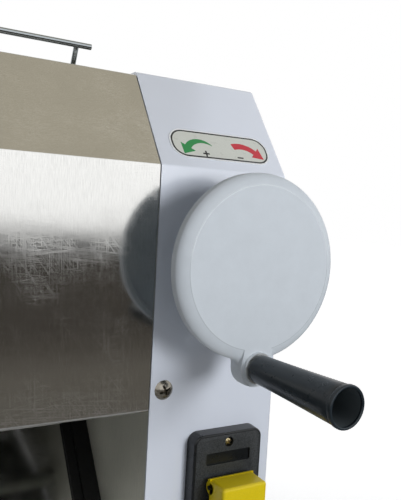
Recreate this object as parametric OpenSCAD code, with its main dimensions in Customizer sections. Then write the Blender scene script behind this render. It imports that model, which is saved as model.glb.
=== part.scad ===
// Electric dough sheeter with two side housings, a roller bay between them, a front
// thickness dial with a revolving grip, and a push-button mains switch.
// Millimetres, +Z up, front towards -Y, origin at the bottom centre of the bounding box.

/* [Body] */
// Width of the right housing, which holds the thickness gear and the switch
right_w = 100; // [92:1:130]
// Width of the roller bay between the two housings
middle_w = 250; // [160:1:420]
// Width of the left housing, which holds the drive
left_w = 80; // [72:1:120]
// Depth from the front panels to the back panels
body_d = 280; // [270:1:380]
// Height of the vertical front, from the housings' lower edge to the bend
front_h = 300; // [290:1:380]
// Depth taken up by the sloping upper panel
slope_run = 49.2; // [40:0.1:56]
// Height of the sloping upper panel
slope_rise = 66.6; // [60:0.1:84]
// Radius of the housings' upper back corner
back_r = 18; // [6:1:30]
// Height of the rubber feet
foot_h = 14; // [8:1:25]
// Diameter of the rubber feet
foot_d = 34; // [24:1:40]
// Thickness of the painted covers
cover_t = 1.5; // [1:0.1:2.5]
// Thickness of the stainless sheet
sheet_t = 1.2; // [0.8:0.1:2]
// Thickness of the side plates
plate_t = 5; // [4:0.5:8]
// Height of the front sheet's vertical part below the bend
skirt_h = 161.8; // [140:0.1:170]
// How far the stainless top lies below the covers' top
hood_drop = 2.5; // [0:0.1:6]

/* [Rollers] */
// Diameter of both rollers
roller_d = 56; // [46:0.1:68]
// Gap between the rollers at rest
roller_gap = 2; // [1.8:0.1:3]
// Diameter of the roller journals
journal_d = 20; // [16:1:24]
// Distance from the front panel back to the middle of the roller gap
nip_back = 105; // [100:0.5:120]
// Distance from the bend down to the roller axes
nip_drop = 45; // [42:0.5:54]
// How far the front roller's blocks can move forwards
open_travel = 4.2; // [4:0.1:5]
// How far the front roller's blocks can move backwards
close_travel = 1.8; // [1.6:0.1:1.8]
// Teeth on each of the gears that link the rollers
link_teeth = 14; // [14:1:14]

/* [Dial] */
// Distance from the right housing's inner edge to the dial axis
dial_x = 50; // [48:0.5:52]
// Distance from the bend down to the dial axis
dial_drop = 61.4; // [60:0.1:66]
// Diameter of the dial disc
dial_d = 116.6; // [90:0.1:140]
// Thickness of the dial disc at its rim
dial_t = 10.5; // [8:0.1:15]
// Gap between the front panel and the back of the dial
dial_standoff = 36.8; // [28:0.1:50]
// Distance from the dial axis to the grip axis
crank_r = 62.4; // [50:0.1:80]
// Diameter of the dial shaft
dial_shaft_d = 14; // [10:1:14]

/* [Grip] */
// Length of the revolving grip
grip_len = 77.6; // [60:0.1:110]
// Diameter of the grip where it meets the dial
grip_base_d = 18; // [16:0.5:24]
// Diameter of the grip at its open end
grip_tip_d = 24; // [20:0.5:32]
// Diameter of the spindle that the grip turns on
spindle_d = 8; // [6:0.5:9]
// Height of the collar between the dial and the grip
ferrule_h = 2.5; // [1.5:0.1:5]

/* [Switch] */
// Distance from the right housing's inner edge to the middle of the switch
switch_x = 57.5; // [50:0.5:64]
// Width of the switch plate
switch_w = 55.3; // [46:0.1:66]
// Height of the switch plate
switch_h = 100; // [96:0.5:110]
// Thickness of the switch plate
switch_t = 10; // [9:0.1:14]
// Distance from the bend down to the top of the switch plate
switch_drop = 179; // [170:0.5:185]
// Width of the hinged emergency flap
flap_w = 35; // [32:0.5:42]
// How far the flap stands out from the switch plate
flap_out = 23; // [20:0.5:28]

/* [Guard] */
// Diameter of the guard wire
wire_d = 4; // [3:0.5:6]
// Distance from each guard leg to the side of the roller bay
guard_leg_in = 39.9; // [30:0.1:60]
// How far the lifting rod runs past each leg
guard_rod_over = 10.2; // [5:0.1:20]
// Distance from the front panel back to the lifting rod
guard_rod_back = 60; // [58:0.5:64]
// Height of the lifting rod above the bend
guard_rod_rise = 80.1; // [78:0.1:90]

/* [Drive] */
// Module of the reduction gears
drive_m = 2; // [2:0.5:2]
// Teeth on the large reduction gear
drive_wheel_teeth = 54; // [50:1:56]
// Teeth on the countershaft pinion
drive_pinion_teeth = 16; // [16:1:18]
// Diameter of the pulley on the countershaft
big_pulley_d = 140; // [110:1:146]
// Diameter of the pulley on the motor
small_pulley_d = 50; // [46:1:60]
// Diameter of the motor
motor_d = 110; // [90:1:114]
// Length of the motor's body
motor_len = 166; // [100:1:166]
// How far the cord gland stands out of the back panel
gland_out = 17.7; // [14:0.1:24]

/* [Hidden] */
$fn = 64;

// Fits
run = 0.05;    // radial clearance of a turning or sliding fit
snug = 0.03;   // radial clearance of a part fixed on its shaft
gap = 0.3;     // clearance between parts that do not touch
through = 1;   // how far a cut runs past the face that it leaves

// Main places
body_w = left_w + middle_w + right_w;
dial_over = max(0, dial_x + dial_d / 2 - right_w);
side_r = (body_w - dial_over) / 2;
side_l = side_r - body_w;
seam_r = side_r - right_w;
seam_l = side_l + left_w;
reach = dial_standoff + dial_t + ferrule_h + gap + grip_len;
front_y = (reach - body_d - gland_out) / 2;
back_y = front_y + body_d;
floor_z = foot_h;
bend_z = floor_z + front_h;
top_z = bend_z + slope_rise;
slope = atan2(slope_rise, slope_run);
hood_top_z = top_z - hood_drop;
hood_top_y = front_y + slope_run - hood_drop / tan(slope);
skirt_z = bend_z - skirt_h;
tray_t = cover_t;
tray_wall = 20;
tray_top = floor_z + tray_t;

// Rollers
roller_r = roller_d / 2;
journal_r = journal_d / 2;
nip_y = front_y + nip_back;
roller_z = bend_z - nip_drop;
rear_axis = nip_y + roller_r + roller_gap / 2;
front_axis = nip_y - roller_r - roller_gap / 2;
roller_end_gap = 2;
bush_wall = 4;
bush_flange = 3;
link_u0 = plate_t + 11;
link_u1 = link_u0 + 16;
link_m = roller_d / link_teeth;
link_add = 1.15 * link_m;
link_ded = 1.2 * link_m;
link_slack = 0.5;

// Sliding blocks of the front roller
block_wall = 10;
block_half_y = journal_r + block_wall;
block_half_z = journal_r + 8;
block_lip = 4;
block_u0 = plate_t + gap;
block_u1 = block_u0 + 8;
block_in = 0.4;
arm_t = 1.2;
slide_gap = 0.15;
scraper_gap = 0.4;

// Thickness gear
dial_z = bend_z - dial_drop;
dial_axis_x = seam_r + dial_x;
worm_m = 2;
worm_r = 10;
wheel_teeth = 20;
wheel_r = worm_m * wheel_teeth / 2;
wheel_face = 10;
worm_depth = 0.9 * worm_m;
worm_turns = 5;
worm_lead = PI * worm_m;
worm_len = worm_turns * worm_lead;
thread_half = 1.2;
thread_steps = 18;
worm_root = worm_r - worm_depth - 0.6;
cross_y = front_axis;
cross_z = dial_z - worm_r - wheel_r;
cross_r = 6;
pinion_m = 1.25;
pinion_teeth = 16;
pinion_r = pinion_m * pinion_teeth / 2;
rack_teeth = 8;
rack_z = cross_z + pinion_r;
bracket_t = 6;
bracket_u0 = dial_x - 12;
bracket_u1 = dial_x + 14;
bracket_half = 29;
bracket_z = cross_z - 27.6;

// Dial and grip
dial_r = dial_d / 2;
dial_back_y = front_y - dial_standoff;
dial_front_y = dial_back_y - dial_t;
dial_edge = 5.5;
dial_shaft_r = dial_shaft_d / 2;
hub_r = 18;
web_t = 5;
lug_r = 13;
grip_z = dial_z - crank_r;
grip_base_y = dial_front_y - ferrule_h - gap;
grip_tip_y = grip_base_y - grip_len;
grip_floor = 28;
spindle_r = spindle_d / 2;
flange_t = 5;
flange_r = 24;
sleeve_r = 12;

// Drive
drive_u0 = plate_t + 12;
drive_face = 12;
wheel_pitch_r = drive_m * drive_wheel_teeth / 2;
pinion_pitch_r = drive_m * drive_pinion_teeth / 2;
drive_angle = -50;
counter_y = rear_axis + (wheel_pitch_r + pinion_pitch_r) * cos(drive_angle);
counter_z = roller_z + (wheel_pitch_r + pinion_pitch_r) * sin(drive_angle);
counter_r = 7;
bridge_u0 = drive_u0 + drive_face + 7;
bridge_t = 5;
pulley_u0 = bridge_u0 + bridge_t + 5;
pulley_w = 16;
belt_w = 8;
belt_h = 7;
motor_r = motor_d / 2;
motor_y = back_y - motor_r - 20;
motor_z = tray_top + motor_r + 11.5;
motor_x0 = seam_l + 25;
motor_shaft_r = 7;
rotor_r = 30;
shield_t = 10;

// Switch
switch_cx = seam_r + switch_x;
switch_top = bend_z - switch_drop;
switch_cz = switch_top - switch_h / 2;
switch_r = 7;
switch_front = front_y - switch_t;
flap_t = 2;
flap_top = switch_top - 28.5;
flap_h = 61;
flap_front = switch_front - flap_out;
block_w = flap_w - 2 * flap_t - 2;
block_out = 8;
block_drop = 3;
hinge_y = switch_front - 6;
hinge_z = flap_top - 5.5;
hinge_r = 1.5;
barrel_r = 3.2;
knuckle_r = 4.5;
start_z = flap_top - 20;
stop_z = flap_top - 44;
button_w = 19;
button_h = 17;
button_y = switch_front - block_out - 3;
button_t = 9;
stem_r = 4;
body_half_h = 18;
switch_screw_z = [switch_top - 7, switch_top - switch_h + 6];
switch_screw_r = 2;
switch_screw_seat = 3;
switch_well_r = 3.4;
switch_head_r = 3;

// Guard
wire_r = wire_d / 2;
leg_r = wire_r - 0.2;
leg_r_x = seam_r - guard_leg_in;
leg_l_x = seam_l + guard_leg_in;
rod_y = front_y + guard_rod_back;
rod_z = bend_z + guard_rod_rise;
guard_z = hood_top_z - 6.1;
leg_lean = 0.537;
leg_foot_y = rod_y + (rod_z - guard_z) * leg_lean;
guard_axis_y = nip_y + 60;
guard_bars = 4;
rear_edge_y = guard_axis_y + 4;

// Feed and discharge
hopper_low_z = roller_z + roller_r + 6;
hopper_gap = 13;
chute_slope = 1.179;
chute_low_y = front_y + 69.5;
chute_low_z = floor_z + 26;
chute_high_y = rear_axis + 56;
chute_high_z = chute_low_z + (chute_high_y - chute_low_y) * chute_slope;
guide_w = 20;
guide_t = 3;
guide_step = 13;

// Cover screws: distance out from the seam, and heights
screw_u = 9.6;
screw_head_r = 6.6;
screw_r = 2.5;
front_screw_z = [bend_z - 147.6, floor_z + 14];
back_screw_z = [bend_z - 20, floor_z + 14];

// Tie bars, as [y, z]
tie_r = 7;
tie_end_r = 5;
tie_clear = 11;
low_tie_y = cross_y - bracket_half - bracket_t - tie_clear;
tie_places = [[front_y + 25, bend_z + 6], [low_tie_y, skirt_z + 16],
  [back_y - 35, bend_z + 26], [back_y - 24, floor_z + 15]];

// Feet, as [x, y]
foot_in = 30;
foot_places = [for (x = [side_l + foot_in, side_r - foot_in])
  for (y = [front_y + 35, back_y - 35]) [x, y]];

// ---------- helpers ----------

function polar(r, a) = [r * cos(a), r * sin(a)];

function arc(c, r, a0, a1, n) = [for (i = [0 : n]) c + polar(r, a0 + (a1 - a0) * i / n)];

function unit(v) = v / norm(v);

// Left-hand normal of the step from p to q
function side_normal(p, q) = let (d = unit(q - p)) [-d[1], d[0]];

// Path p moved to its left by t, with mitred corners
function moved_path(p, t) = [for (i = [0 : len(p) - 1])
  let (n0 = side_normal(p[max(i - 1, 0)], p[max(i, 1)]),
       n1 = side_normal(p[min(i, len(p) - 2)], p[min(i + 1, len(p) - 1)]),
       n = n0 + n1)
  p[i] + n * t * 2 / (n * n)];

function reversed(p) = [for (i = [len(p) - 1 : -1 : 0]) p[i]];

// Outline of a sheet of thickness t that lies to the left of path p
function sheet_outline(p, t) = concat(p, reversed(moved_path(p, t)));

function involute(a) = tan(a) * 180 / PI - a;

// Half the angle that a tooth takes up at radius r
function tooth_half(r, rb, half, pa) =
  half + involute(pa) - involute(acos(min(1, rb / max(r, rb))));

// Outline of a spur gear with its first tooth at angle turn
function gear_outline(m, n, pa, add, ded, slack, turn) =
  let (rp = m * n / 2, rb = rp * cos(pa), root = rp - ded, tip = rp + add,
       start = max(rb, root), half = 90 / n - slack / rp * 90 / PI,
       radii = concat(rb > root ? [root] : [],
         [for (i = [0 : 3]) start + (tip - start) * i / 3]),
       last = len(radii) - 1)
  [for (k = [0 : n - 1]) for (s = [-1, 1]) for (i = [0 : last])
    let (r = radii[s < 0 ? i : last - i])
    polar(r, turn + k * 360 / n + s * tooth_half(r, rb, half, pa))];

// Outline of a housing, moved in by d, down to height low
function body_outline(d, low) =
  let (c = [back_y - back_r, top_z - back_r],
       bend = bend_z + d * ((1 - sin(slope)) * tan(slope) - cos(slope)),
       top = front_y + d * sin(slope) + (slope_rise - d + d * cos(slope)) / tan(slope))
  concat([[front_y + d, low], [front_y + d, bend], [top, top_z - d]],
    arc(c, back_r - d, 90, 0, 8), [[back_y - d, low]]);

// Extrudes a [y, z] outline along X
module along_x(x0, x1) {
  translate([x0, 0, 0]) rotate([90, 0, 90]) linear_extrude(x1 - x0) children();
}

module rod_x(r, x0, x1, y, z) {
  translate([x0, y, z]) rotate([0, 90, 0]) cylinder(r = r, h = x1 - x0);
}

module rod_y(r, y0, y1, x, z) {
  translate([x, y0, z]) rotate([-90, 0, 0]) cylinder(r = r, h = y1 - y0);
}

// Round bar from p to q
module bar(p, q, r) {
  d = q - p;
  translate(p) rotate([0, acos(d[2] / norm(d)), atan2(d[1], d[0])])
    cylinder(r = r, h = norm(d));
}

module box(x, y, z) {
  translate([x[0], y[0], z[0]]) cube([x[1] - x[0], y[1] - y[0], z[1] - z[0]]);
}

// Places children with +X as the distance outwards from a housing's inner edge
module on_side(side) {
  if (side > 0) {
    translate([seam_r, 0, 0]) children();
  } else {
    translate([seam_l, 0, 0]) mirror([1, 0, 0]) children();
  }
}

module rounded_rect(w, h, r) {
  square([w - 2 * r, h], center = true);
  square([w, h - 2 * r], center = true);
  for (sx = [-1, 1]) for (sy = [-1, 1]) {
    translate([sx * (w / 2 - r), sy * (h / 2 - r)]) circle(r);
  }
}

// Rounded block on the front, from depth y0 forwards by t, centred on x and z
module front_block(w, h, r, t, x, y0, z) {
  translate([x, y0, z]) rotate([90, 0, 0]) linear_extrude(t) rounded_rect(w, h, r);
}

// Domed cross-head screw along +Y with its head's seat at the origin
module dome_screw(head_r, shank_r, len) {
  head_h = head_r / 2;
  ball_r = (head_r * head_r + head_h * head_h) / (2 * head_h);
  difference() {
    union() {
      intersection() {
        translate([0, ball_r - head_h, 0]) sphere(ball_r);
        rod_y(head_r, -head_h, 0, 0, 0);
      }
      rod_y(shank_r, 0, len, 0, 0);
    }
    for (a = [0, 90]) rotate([0, a, 0]) {
      translate([-head_r / 2, -head_h - through, -head_r / 10])
        cube([head_r, head_h * 0.6 + through, head_r / 5]);
    }
  }
}

// Ring along X with its own flange on the outer side
module flanged_bush(bore_r, wall, u0, u1, flange, y, z) {
  difference() {
    union() {
      rod_x(bore_r + wall, u0, u1, y, z);
      rod_x(bore_r + wall + 4, u1, u1 + flange, y, z);
    }
    rod_x(bore_r, u0 - through, u1 + flange + through, y, z);
  }
}

// ---------- frame ----------

module side_plate(side) {
  inset = cover_t + gap;
  tab = 12;
  window_y = [front_axis - block_half_y - open_travel, front_axis + block_half_y + close_travel];
  difference() {
    union() {
      along_x(0, plate_t) polygon(body_outline(inset, tray_top));
      for (z = front_screw_z) {
        box([plate_t, plate_t + tab], [front_y + inset, front_y + inset + tab], [z - 8, z + 8]);
      }
      for (z = back_screw_z) {
        box([plate_t, plate_t + tab], [back_y - inset - tab, back_y - inset], [z - 8, z + 8]);
      }
    }
    box([-through, plate_t + through], window_y,
      [roller_z - block_half_z - slide_gap, roller_z + block_half_z + slide_gap]);
    rod_x(journal_r + run + bush_wall + snug, -through, plate_t + through, rear_axis, roller_z);
    rod_x(cross_r + run + 3 + snug, -through, plate_t + through, cross_y, cross_z);
    for (p = tie_places) rod_x(tie_end_r + snug, -through, plate_t + through, p[0], p[1]);
    for (z = front_screw_z) rod_y(screw_r + snug, front_y, front_y + 30, screw_u, z);
    for (z = back_screw_z) rod_y(screw_r + snug, back_y - 30, back_y, screw_u, z);
    if (side < 0) {
      rod_x(counter_r + run + 3 + snug, -through, plate_t + through, counter_y, counter_z);
      rod_x(20, -through, plate_t + through, motor_y, motor_z);
    }
  }
}

module right_side_plate() {
  color("silver") on_side(1) side_plate(1);
}

module left_side_plate() {
  color("silver") on_side(-1) side_plate(-1);
}

module tie_bars() {
  nut_h = 6;
  color("gray") for (p = tie_places) {
    rod_x(tie_r, seam_l, seam_r, p[0], p[1]);
    rod_x(tie_end_r, seam_l - plate_t - nut_h - 3, seam_r + plate_t + nut_h + 3, p[0], p[1]);
    for (side = [-1, 1]) on_side(side) {
      translate([plate_t, p[0], p[1]]) rotate([0, 90, 0]) cylinder(r = 9, h = nut_h, $fn = 6);
    }
  }
}

module base_tray() {
  in = cover_t + gap;
  wall = [[front_y + in, floor_z + tray_wall], [front_y + in, floor_z],
    [back_y - in, floor_z], [back_y - in, floor_z + tray_wall]];
  color("silver") difference() {
    along_x(side_l + in, side_r - in) polygon(sheet_outline(wall, tray_t));
    for (p = foot_places) {
      translate([p[0], p[1], floor_z - through]) cylinder(r = 3 + snug, h = tray_t + 2 * through);
    }
    for (side = [-1, 1]) on_side(side) {
      box([-through, screw_u + 10], [front_y, front_y + in + tray_t + 14],
        [tray_top, floor_z + tray_wall + through]);
      box([-through, screw_u + 10], [back_y - in - tray_t - 14, back_y],
        [tray_top, floor_z + tray_wall + through]);
    }
  }
}

module cover(w) {
  difference() {
    along_x(0, w) polygon(body_outline(0, floor_z));
    along_x(-through, w - cover_t) polygon(body_outline(cover_t, floor_z - through));
    for (z = front_screw_z) rod_y(screw_r + gap, front_y - through, front_y + 5, screw_u, z);
    for (z = back_screw_z) rod_y(screw_r + gap, back_y - 5, back_y + through, screw_u, z);
  }
}

module right_cover() {
  color("whitesmoke") difference() {
    on_side(1) cover(right_w);
    rod_y(sleeve_r + snug, front_y - through, front_y + 5, dial_axis_x, dial_z);
    box([switch_cx - block_w / 2 - gap, switch_cx + block_w / 2 + gap],
      [front_y - through, front_y + 5],
      [stop_z - body_half_h - gap, start_z + body_half_h + gap]);
    for (z = switch_screw_z) {
      rod_y(switch_screw_r + snug, front_y - through, front_y + 5, switch_cx, z);
    }
    rod_y(8 + snug, back_y - 5, back_y + through, dial_axis_x, floor_z + 45);
  }
}

module left_cover() {
  color("whitesmoke") on_side(-1) cover(left_w);
}

module cover_screws() {
  color("silver") for (side = [-1, 1]) on_side(side) {
    for (z = front_screw_z) translate([screw_u, front_y, z]) dome_screw(screw_head_r, screw_r, 12);
    for (z = back_screw_z) translate([screw_u, back_y, z]) rotate([0, 0, 180])
      dome_screw(screw_head_r, screw_r, 12);
  }
}

module front_hood() {
  lip = 9;
  path = [[front_y + lip, skirt_z], [front_y, skirt_z], [front_y, bend_z],
    [hood_top_y, hood_top_z], [hood_top_y + 4.5, hood_top_z], [hood_top_y + 4.5, hood_top_z - 14]];
  color("gainsboro") along_x(seam_l + gap, seam_r - gap)
    polygon(sheet_outline(path, -sheet_t));
}

module rear_hood() {
  c = [back_y - back_r, hood_top_z - back_r];
  path = concat([[rear_edge_y, hood_top_z - 14], [rear_edge_y, hood_top_z]],
    arc(c, back_r, 90, 0, 8), [[back_y, floor_z + tray_wall + 3]]);
  slot = [middle_w * 0.6, 4];
  color("gainsboro") difference() {
    along_x(seam_l + gap, seam_r - gap) polygon(sheet_outline(path, -sheet_t));
    for (i = [0 : 7]) {
      box([(seam_l + seam_r - slot[0]) / 2, (seam_l + seam_r + slot[0]) / 2],
        [back_y - 5, back_y + 5], [motor_z - 32 + i * 9, motor_z - 32 + slot[1] + i * 9]);
    }
  }
}

module rubber_feet() {
  color("dimgray") for (p = foot_places) translate([p[0], p[1], 0]) difference() {
    rotate_extrude() polygon([[0, 0], [foot_d / 2 - 3, 0], [foot_d / 2, foot_h], [0, foot_h]]);
    translate([0, 0, -through]) cylinder(r = 7, h = foot_h - 6 + through);
    translate([0, 0, -through]) cylinder(r = 3 + snug, h = foot_h + 2 * through);
  }
}

module foot_screws() {
  color("silver") for (p = foot_places) translate([p[0], p[1], 0]) {
    translate([0, 0, foot_h - 9]) cylinder(r = 5.5, h = 3);
    translate([0, 0, foot_h - 9]) cylinder(r = 3, h = 9 + tray_t + 7);
    translate([0, 0, tray_top]) cylinder(r = 5.8, h = 5, $fn = 6);
  }
}

// ---------- feed and discharge ----------

module front_hopper_plate() {
  y = hood_top_y + 4.5;
  path = [[y, hood_top_z - 4], [y, hood_top_z - 16], [nip_y - hopper_gap, hopper_low_z]];
  color("silver") along_x(seam_l + gap, seam_r - gap) polygon(sheet_outline(path, sheet_t));
}

module rear_hopper_plate() {
  path = [[rear_edge_y, hood_top_z - 14], [rear_edge_y - 8, hood_top_z - 14],
    [nip_y + hopper_gap, hopper_low_z]];
  color("silver") along_x(seam_l + gap, seam_r - gap) polygon(sheet_outline(path, sheet_t));
}

module chute() {
  front = front_y + gap;
  path = [[front, floor_z + 8], [front, floor_z + tray_wall + 2], [chute_low_y, chute_low_z],
    [chute_high_y, chute_high_z], [chute_high_y, chute_high_z + 40]];
  color("darkgray") along_x(seam_l + gap, seam_r - gap)
    polygon(sheet_outline(moved_path(path, -sheet_t), sheet_t));
}

module chute_side_guides() {
  low = [chute_low_y, chute_low_z];
  high = [chute_high_y, chute_high_z];
  along = unit(high - low);
  path = moved_path([low + along * 3, high - along * 8], snug);
  color("black") for (side = [-1, 1]) on_side(side) {
    along_x(-guide_w, -gap) polygon(sheet_outline(path, guide_t));
    along_x(-guide_step, -gap) polygon(sheet_outline(path, 2 * guide_t));
  }
}

module guard_brackets() {
  color("silver") for (side = [-1, 1]) on_side(side) difference() {
    union() {
      box([-22, -16], [guard_axis_y - 6, rear_edge_y], [guard_z - 6, guard_z + 4]);
      box([-22, -8], [rear_edge_y - 2, rear_edge_y], [guard_z - 6, guard_z + 4]);
    }
    rod_x(wire_r + run, -23, -15, guard_axis_y, guard_z);
  }
}

module feed_guard() {
  ends = [seam_l + 12, seam_r - 12];
  pitch = (guard_axis_y - leg_foot_y) / guard_bars;
  color("silver") {
    rod_x(wire_r, leg_l_x - guard_rod_over, leg_r_x + guard_rod_over, rod_y, rod_z);
    rod_x(wire_r, ends[0], ends[1], guard_axis_y, guard_z);
    for (x = [leg_l_x, leg_r_x]) {
      bar([x, rod_y, rod_z], [x, leg_foot_y, guard_z], leg_r);
      translate([x, leg_foot_y, guard_z]) sphere(leg_r + 0.3);
      bar([x, leg_foot_y, guard_z], [x, guard_axis_y, guard_z], leg_r);
    }
    for (i = [0 : guard_bars - 1]) {
      rod_x(wire_r, leg_l_x - guard_rod_over, leg_r_x + guard_rod_over,
        leg_foot_y + (i + 0.25) * pitch, guard_z - wire_r * 1.7);
    }
  }
}

// ---------- rollers ----------

module roller(axis_y, left_u, right_u) {
  rod_x(roller_r, seam_l + roller_end_gap, seam_r - roller_end_gap, axis_y, roller_z);
  rod_x(journal_r, seam_l - left_u, seam_r + right_u, axis_y, roller_z);
}

module rear_roller() {
  color("gainsboro") roller(rear_axis, drive_u0 + drive_face + 3, link_u1 + 3);
}

module front_roller() {
  color("gainsboro") roller(front_axis, block_u1 + 1, link_u1 + 3);
}

module link_gear(axis_y, turn) {
  difference() {
    along_x(seam_r + link_u0, seam_r + link_u1) translate([axis_y, roller_z])
      polygon(gear_outline(link_m, link_teeth, 25, link_add, link_ded, link_slack, turn));
    rod_x(journal_r + snug, seam_r + link_u0 - through, seam_r + link_u1 + through,
      axis_y, roller_z);
  }
}

module rear_link_gear() {
  color("slategray") link_gear(rear_axis, 180);
}

module front_link_gear() {
  color("slategray") link_gear(front_axis, 180 / link_teeth);
}

module rear_roller_bushes() {
  color("goldenrod") for (side = [-1, 1]) on_side(side) {
    flanged_bush(journal_r + run, bush_wall, gap, plate_t, bush_flange, rear_axis, roller_z);
  }
}

module front_roller_bushes() {
  color("goldenrod") for (side = [-1, 1]) on_side(side) difference() {
    rod_x(journal_r + run + bush_wall, gap, block_u1, front_axis, roller_z);
    rod_x(journal_r + run, gap - through, block_u1 + through, front_axis, roller_z);
  }
}

// Rack teeth along Y that hang from z and mesh with a pinion below them
module rack(u0, u1) {
  pitch = PI * pinion_m;
  slope_y = pinion_m * tan(20);
  half = pitch / 4 - 0.12;
  along_x(u0, u1) for (i = [-rack_teeth / 2 : rack_teeth / 2 - 1]) {
    c = cross_y + (i + 0.5) * pitch;
    polygon([[c - half - slope_y * 1.3, rack_z + pinion_m * 1.3 + 0.2],
      [c - half + slope_y, rack_z - pinion_m],
      [c + half - slope_y, rack_z - pinion_m],
      [c + half + slope_y * 1.3, rack_z + pinion_m * 1.3 + 0.2]]);
  }
}

module bearing_blocks() {
  y = [front_axis - block_half_y, front_axis + block_half_y];
  flange_top = roller_z + block_half_z + block_lip;
  rack_root = rack_z + pinion_m * 1.3;
  color("darkgray") for (side = [-1, 1]) on_side(side) difference() {
    union() {
      box([-block_in, block_u0 + 1], y, [roller_z - block_half_z, roller_z + block_half_z]);
      box([block_u0, block_u1], y, [rack_root, flange_top]);
      rack(block_u0, block_u1);
    }
    rod_x(journal_r + run + bush_wall + snug, -block_in - through, block_u1 + through,
      front_axis, roller_z);
  }
}

// Thin blade from foot up to an edge that lies just off a roller, at edge_angle around it
module blade(axis_y, edge_angle, foot, end_gap) {
  edge = [axis_y, roller_z] + polar(roller_r + scraper_gap, edge_angle);
  thick = axis_y < nip_y ? -2 : 2;
  along_x(seam_l + end_gap, seam_r - end_gap)
    polygon([edge, edge + [thick / 5, 0], foot + [thick, 0], foot]);
}

module rear_scraper() {
  foot = [rear_axis + 2, roller_z - roller_r - 24];
  color("gainsboro") {
    blade(rear_axis, 250, foot, 8);
    box([seam_l, seam_r], [foot[0] + 2, foot[0] + 14], [foot[1], foot[1] + 12]);
  }
}

module front_scraper() {
  foot = [front_axis + 14.5, roller_z - roller_r - 26];
  arm = [front_axis + journal_r + 1, front_axis + block_half_y];
  color("gainsboro") {
    blade(front_axis, 290, foot, block_in + arm_t);
    for (side = [-1, 1]) on_side(side) {
      box([-block_in - arm_t, -block_in], arm, [foot[1], roller_z - block_half_z + 12]);
    }
  }
}

// ---------- drive ----------

module reduction_gear() {
  x0 = seam_l - drive_u0 - drive_face;
  color("slategray") difference() {
    along_x(x0, x0 + drive_face) translate([rear_axis, roller_z])
      polygon(gear_outline(drive_m, drive_wheel_teeth, 20, drive_m, 1.25 * drive_m, 0.3,
        drive_angle));
    rod_x(journal_r + snug, x0 - through, x0 + drive_face + through, rear_axis, roller_z);
  }
}

module countershaft_pinion() {
  x0 = seam_l - drive_u0 - drive_face - 1;
  color("slategray") difference() {
    along_x(x0, x0 + drive_face + 2) translate([counter_y, counter_z])
      polygon(gear_outline(drive_m, drive_pinion_teeth, 20, drive_m, 1.25 * drive_m, 0.3,
        drive_angle + 180 + 180 / drive_pinion_teeth));
    rod_x(counter_r + snug, x0 - through, x0 + drive_face + 3, counter_y, counter_z);
  }
}

module countershaft() {
  color("silver") rod_x(counter_r, seam_l - pulley_u0 - pulley_w - 3, seam_l - gap,
    counter_y, counter_z);
}

// Support places of the outer drive plate, as [y, z]
function bridge_posts() = [[counter_y + 20, counter_z + 56], [counter_y + 20, counter_z - 24],
  [counter_y - 50, counter_z - 20]];

module gear_bridge() {
  posts = bridge_posts();
  edge = 9;
  color("silver") on_side(-1) difference() {
    union() {
      along_x(bridge_u0, bridge_u0 + bridge_t) polygon([
        [posts[0][0] + edge, posts[0][1] + edge], [posts[0][0] - edge, posts[0][1] + edge],
        [posts[2][0] - edge, posts[2][1] + edge], [posts[2][0] - edge, posts[1][1] - edge],
        [posts[1][0] + edge, posts[1][1] - edge]]);
      for (p = posts) rod_x(6, plate_t, bridge_u0, p[0], p[1]);
    }
    rod_x(counter_r + run + 3 + snug, bridge_u0 - through, bridge_u0 + bridge_t + through,
      counter_y, counter_z);
  }
}

module shaft_bushes() {
  color("goldenrod") {
    on_side(-1) {
      flanged_bush(counter_r + run, 3, gap, plate_t, 2, counter_y, counter_z);
      flanged_bush(counter_r + run, 3, bridge_u0, bridge_u0 + bridge_t, 2, counter_y, counter_z);
    }
    for (side = [-1, 1]) on_side(side) difference() {
      rod_x(cross_r + run + 3, gap, plate_t, cross_y, cross_z);
      rod_x(cross_r + run, -through, plate_t + through, cross_y, cross_z);
    }
  }
}

// Pulley along X with a groove for the belt
module pulley(r, shaft_r, y, z) {
  x0 = seam_l - pulley_u0 - pulley_w;
  deep = belt_h + 2;
  translate([x0, y, z]) rotate([0, 90, 0]) rotate_extrude() polygon([
    [shaft_r + snug, 0], [r, 0], [r, pulley_w / 2 - belt_w / 2 - 1.6],
    [r - deep, pulley_w / 2 - belt_w / 2 - gap], [r - deep, pulley_w / 2 + belt_w / 2 + gap],
    [r, pulley_w / 2 + belt_w / 2 + 1.6], [r, pulley_w], [shaft_r + snug, pulley_w]]);
}

module driven_pulley() {
  color("dimgray") pulley(big_pulley_d / 2, counter_r, counter_y, counter_z);
}

module motor_pulley() {
  color("dimgray") pulley(small_pulley_d / 2, motor_shaft_r, motor_y, motor_z);
}

// Loop around both pulleys, out from their groove floors by d
function belt_loop(d) =
  let (a = [counter_y, counter_z], b = [motor_y, motor_z], floor = belt_h + 2,
       ra = big_pulley_d / 2 - floor + d, rb = small_pulley_d / 2 - floor + d,
       dir = atan2(b[1] - a[1], b[0] - a[0]), wrap = acos((ra - rb) / norm(b - a)))
  concat(arc(a, ra, dir + wrap, dir + 360 - wrap, 40), arc(b, rb, dir - wrap, dir + wrap, 20));

module v_belt() {
  x0 = seam_l - pulley_u0 - pulley_w / 2 - belt_w / 2;
  color("black") along_x(x0, x0 + belt_w) difference() {
    polygon(belt_loop(gap + belt_h));
    polygon(belt_loop(2 * gap));
  }
}

module motor_housing() {
  color("slategray") difference() {
    rod_x(motor_r, motor_x0, motor_x0 + motor_len, motor_y, motor_z);
    rod_x(rotor_r + 1, motor_x0 - through, motor_x0 + motor_len + through, motor_y, motor_z);
  }
}

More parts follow.
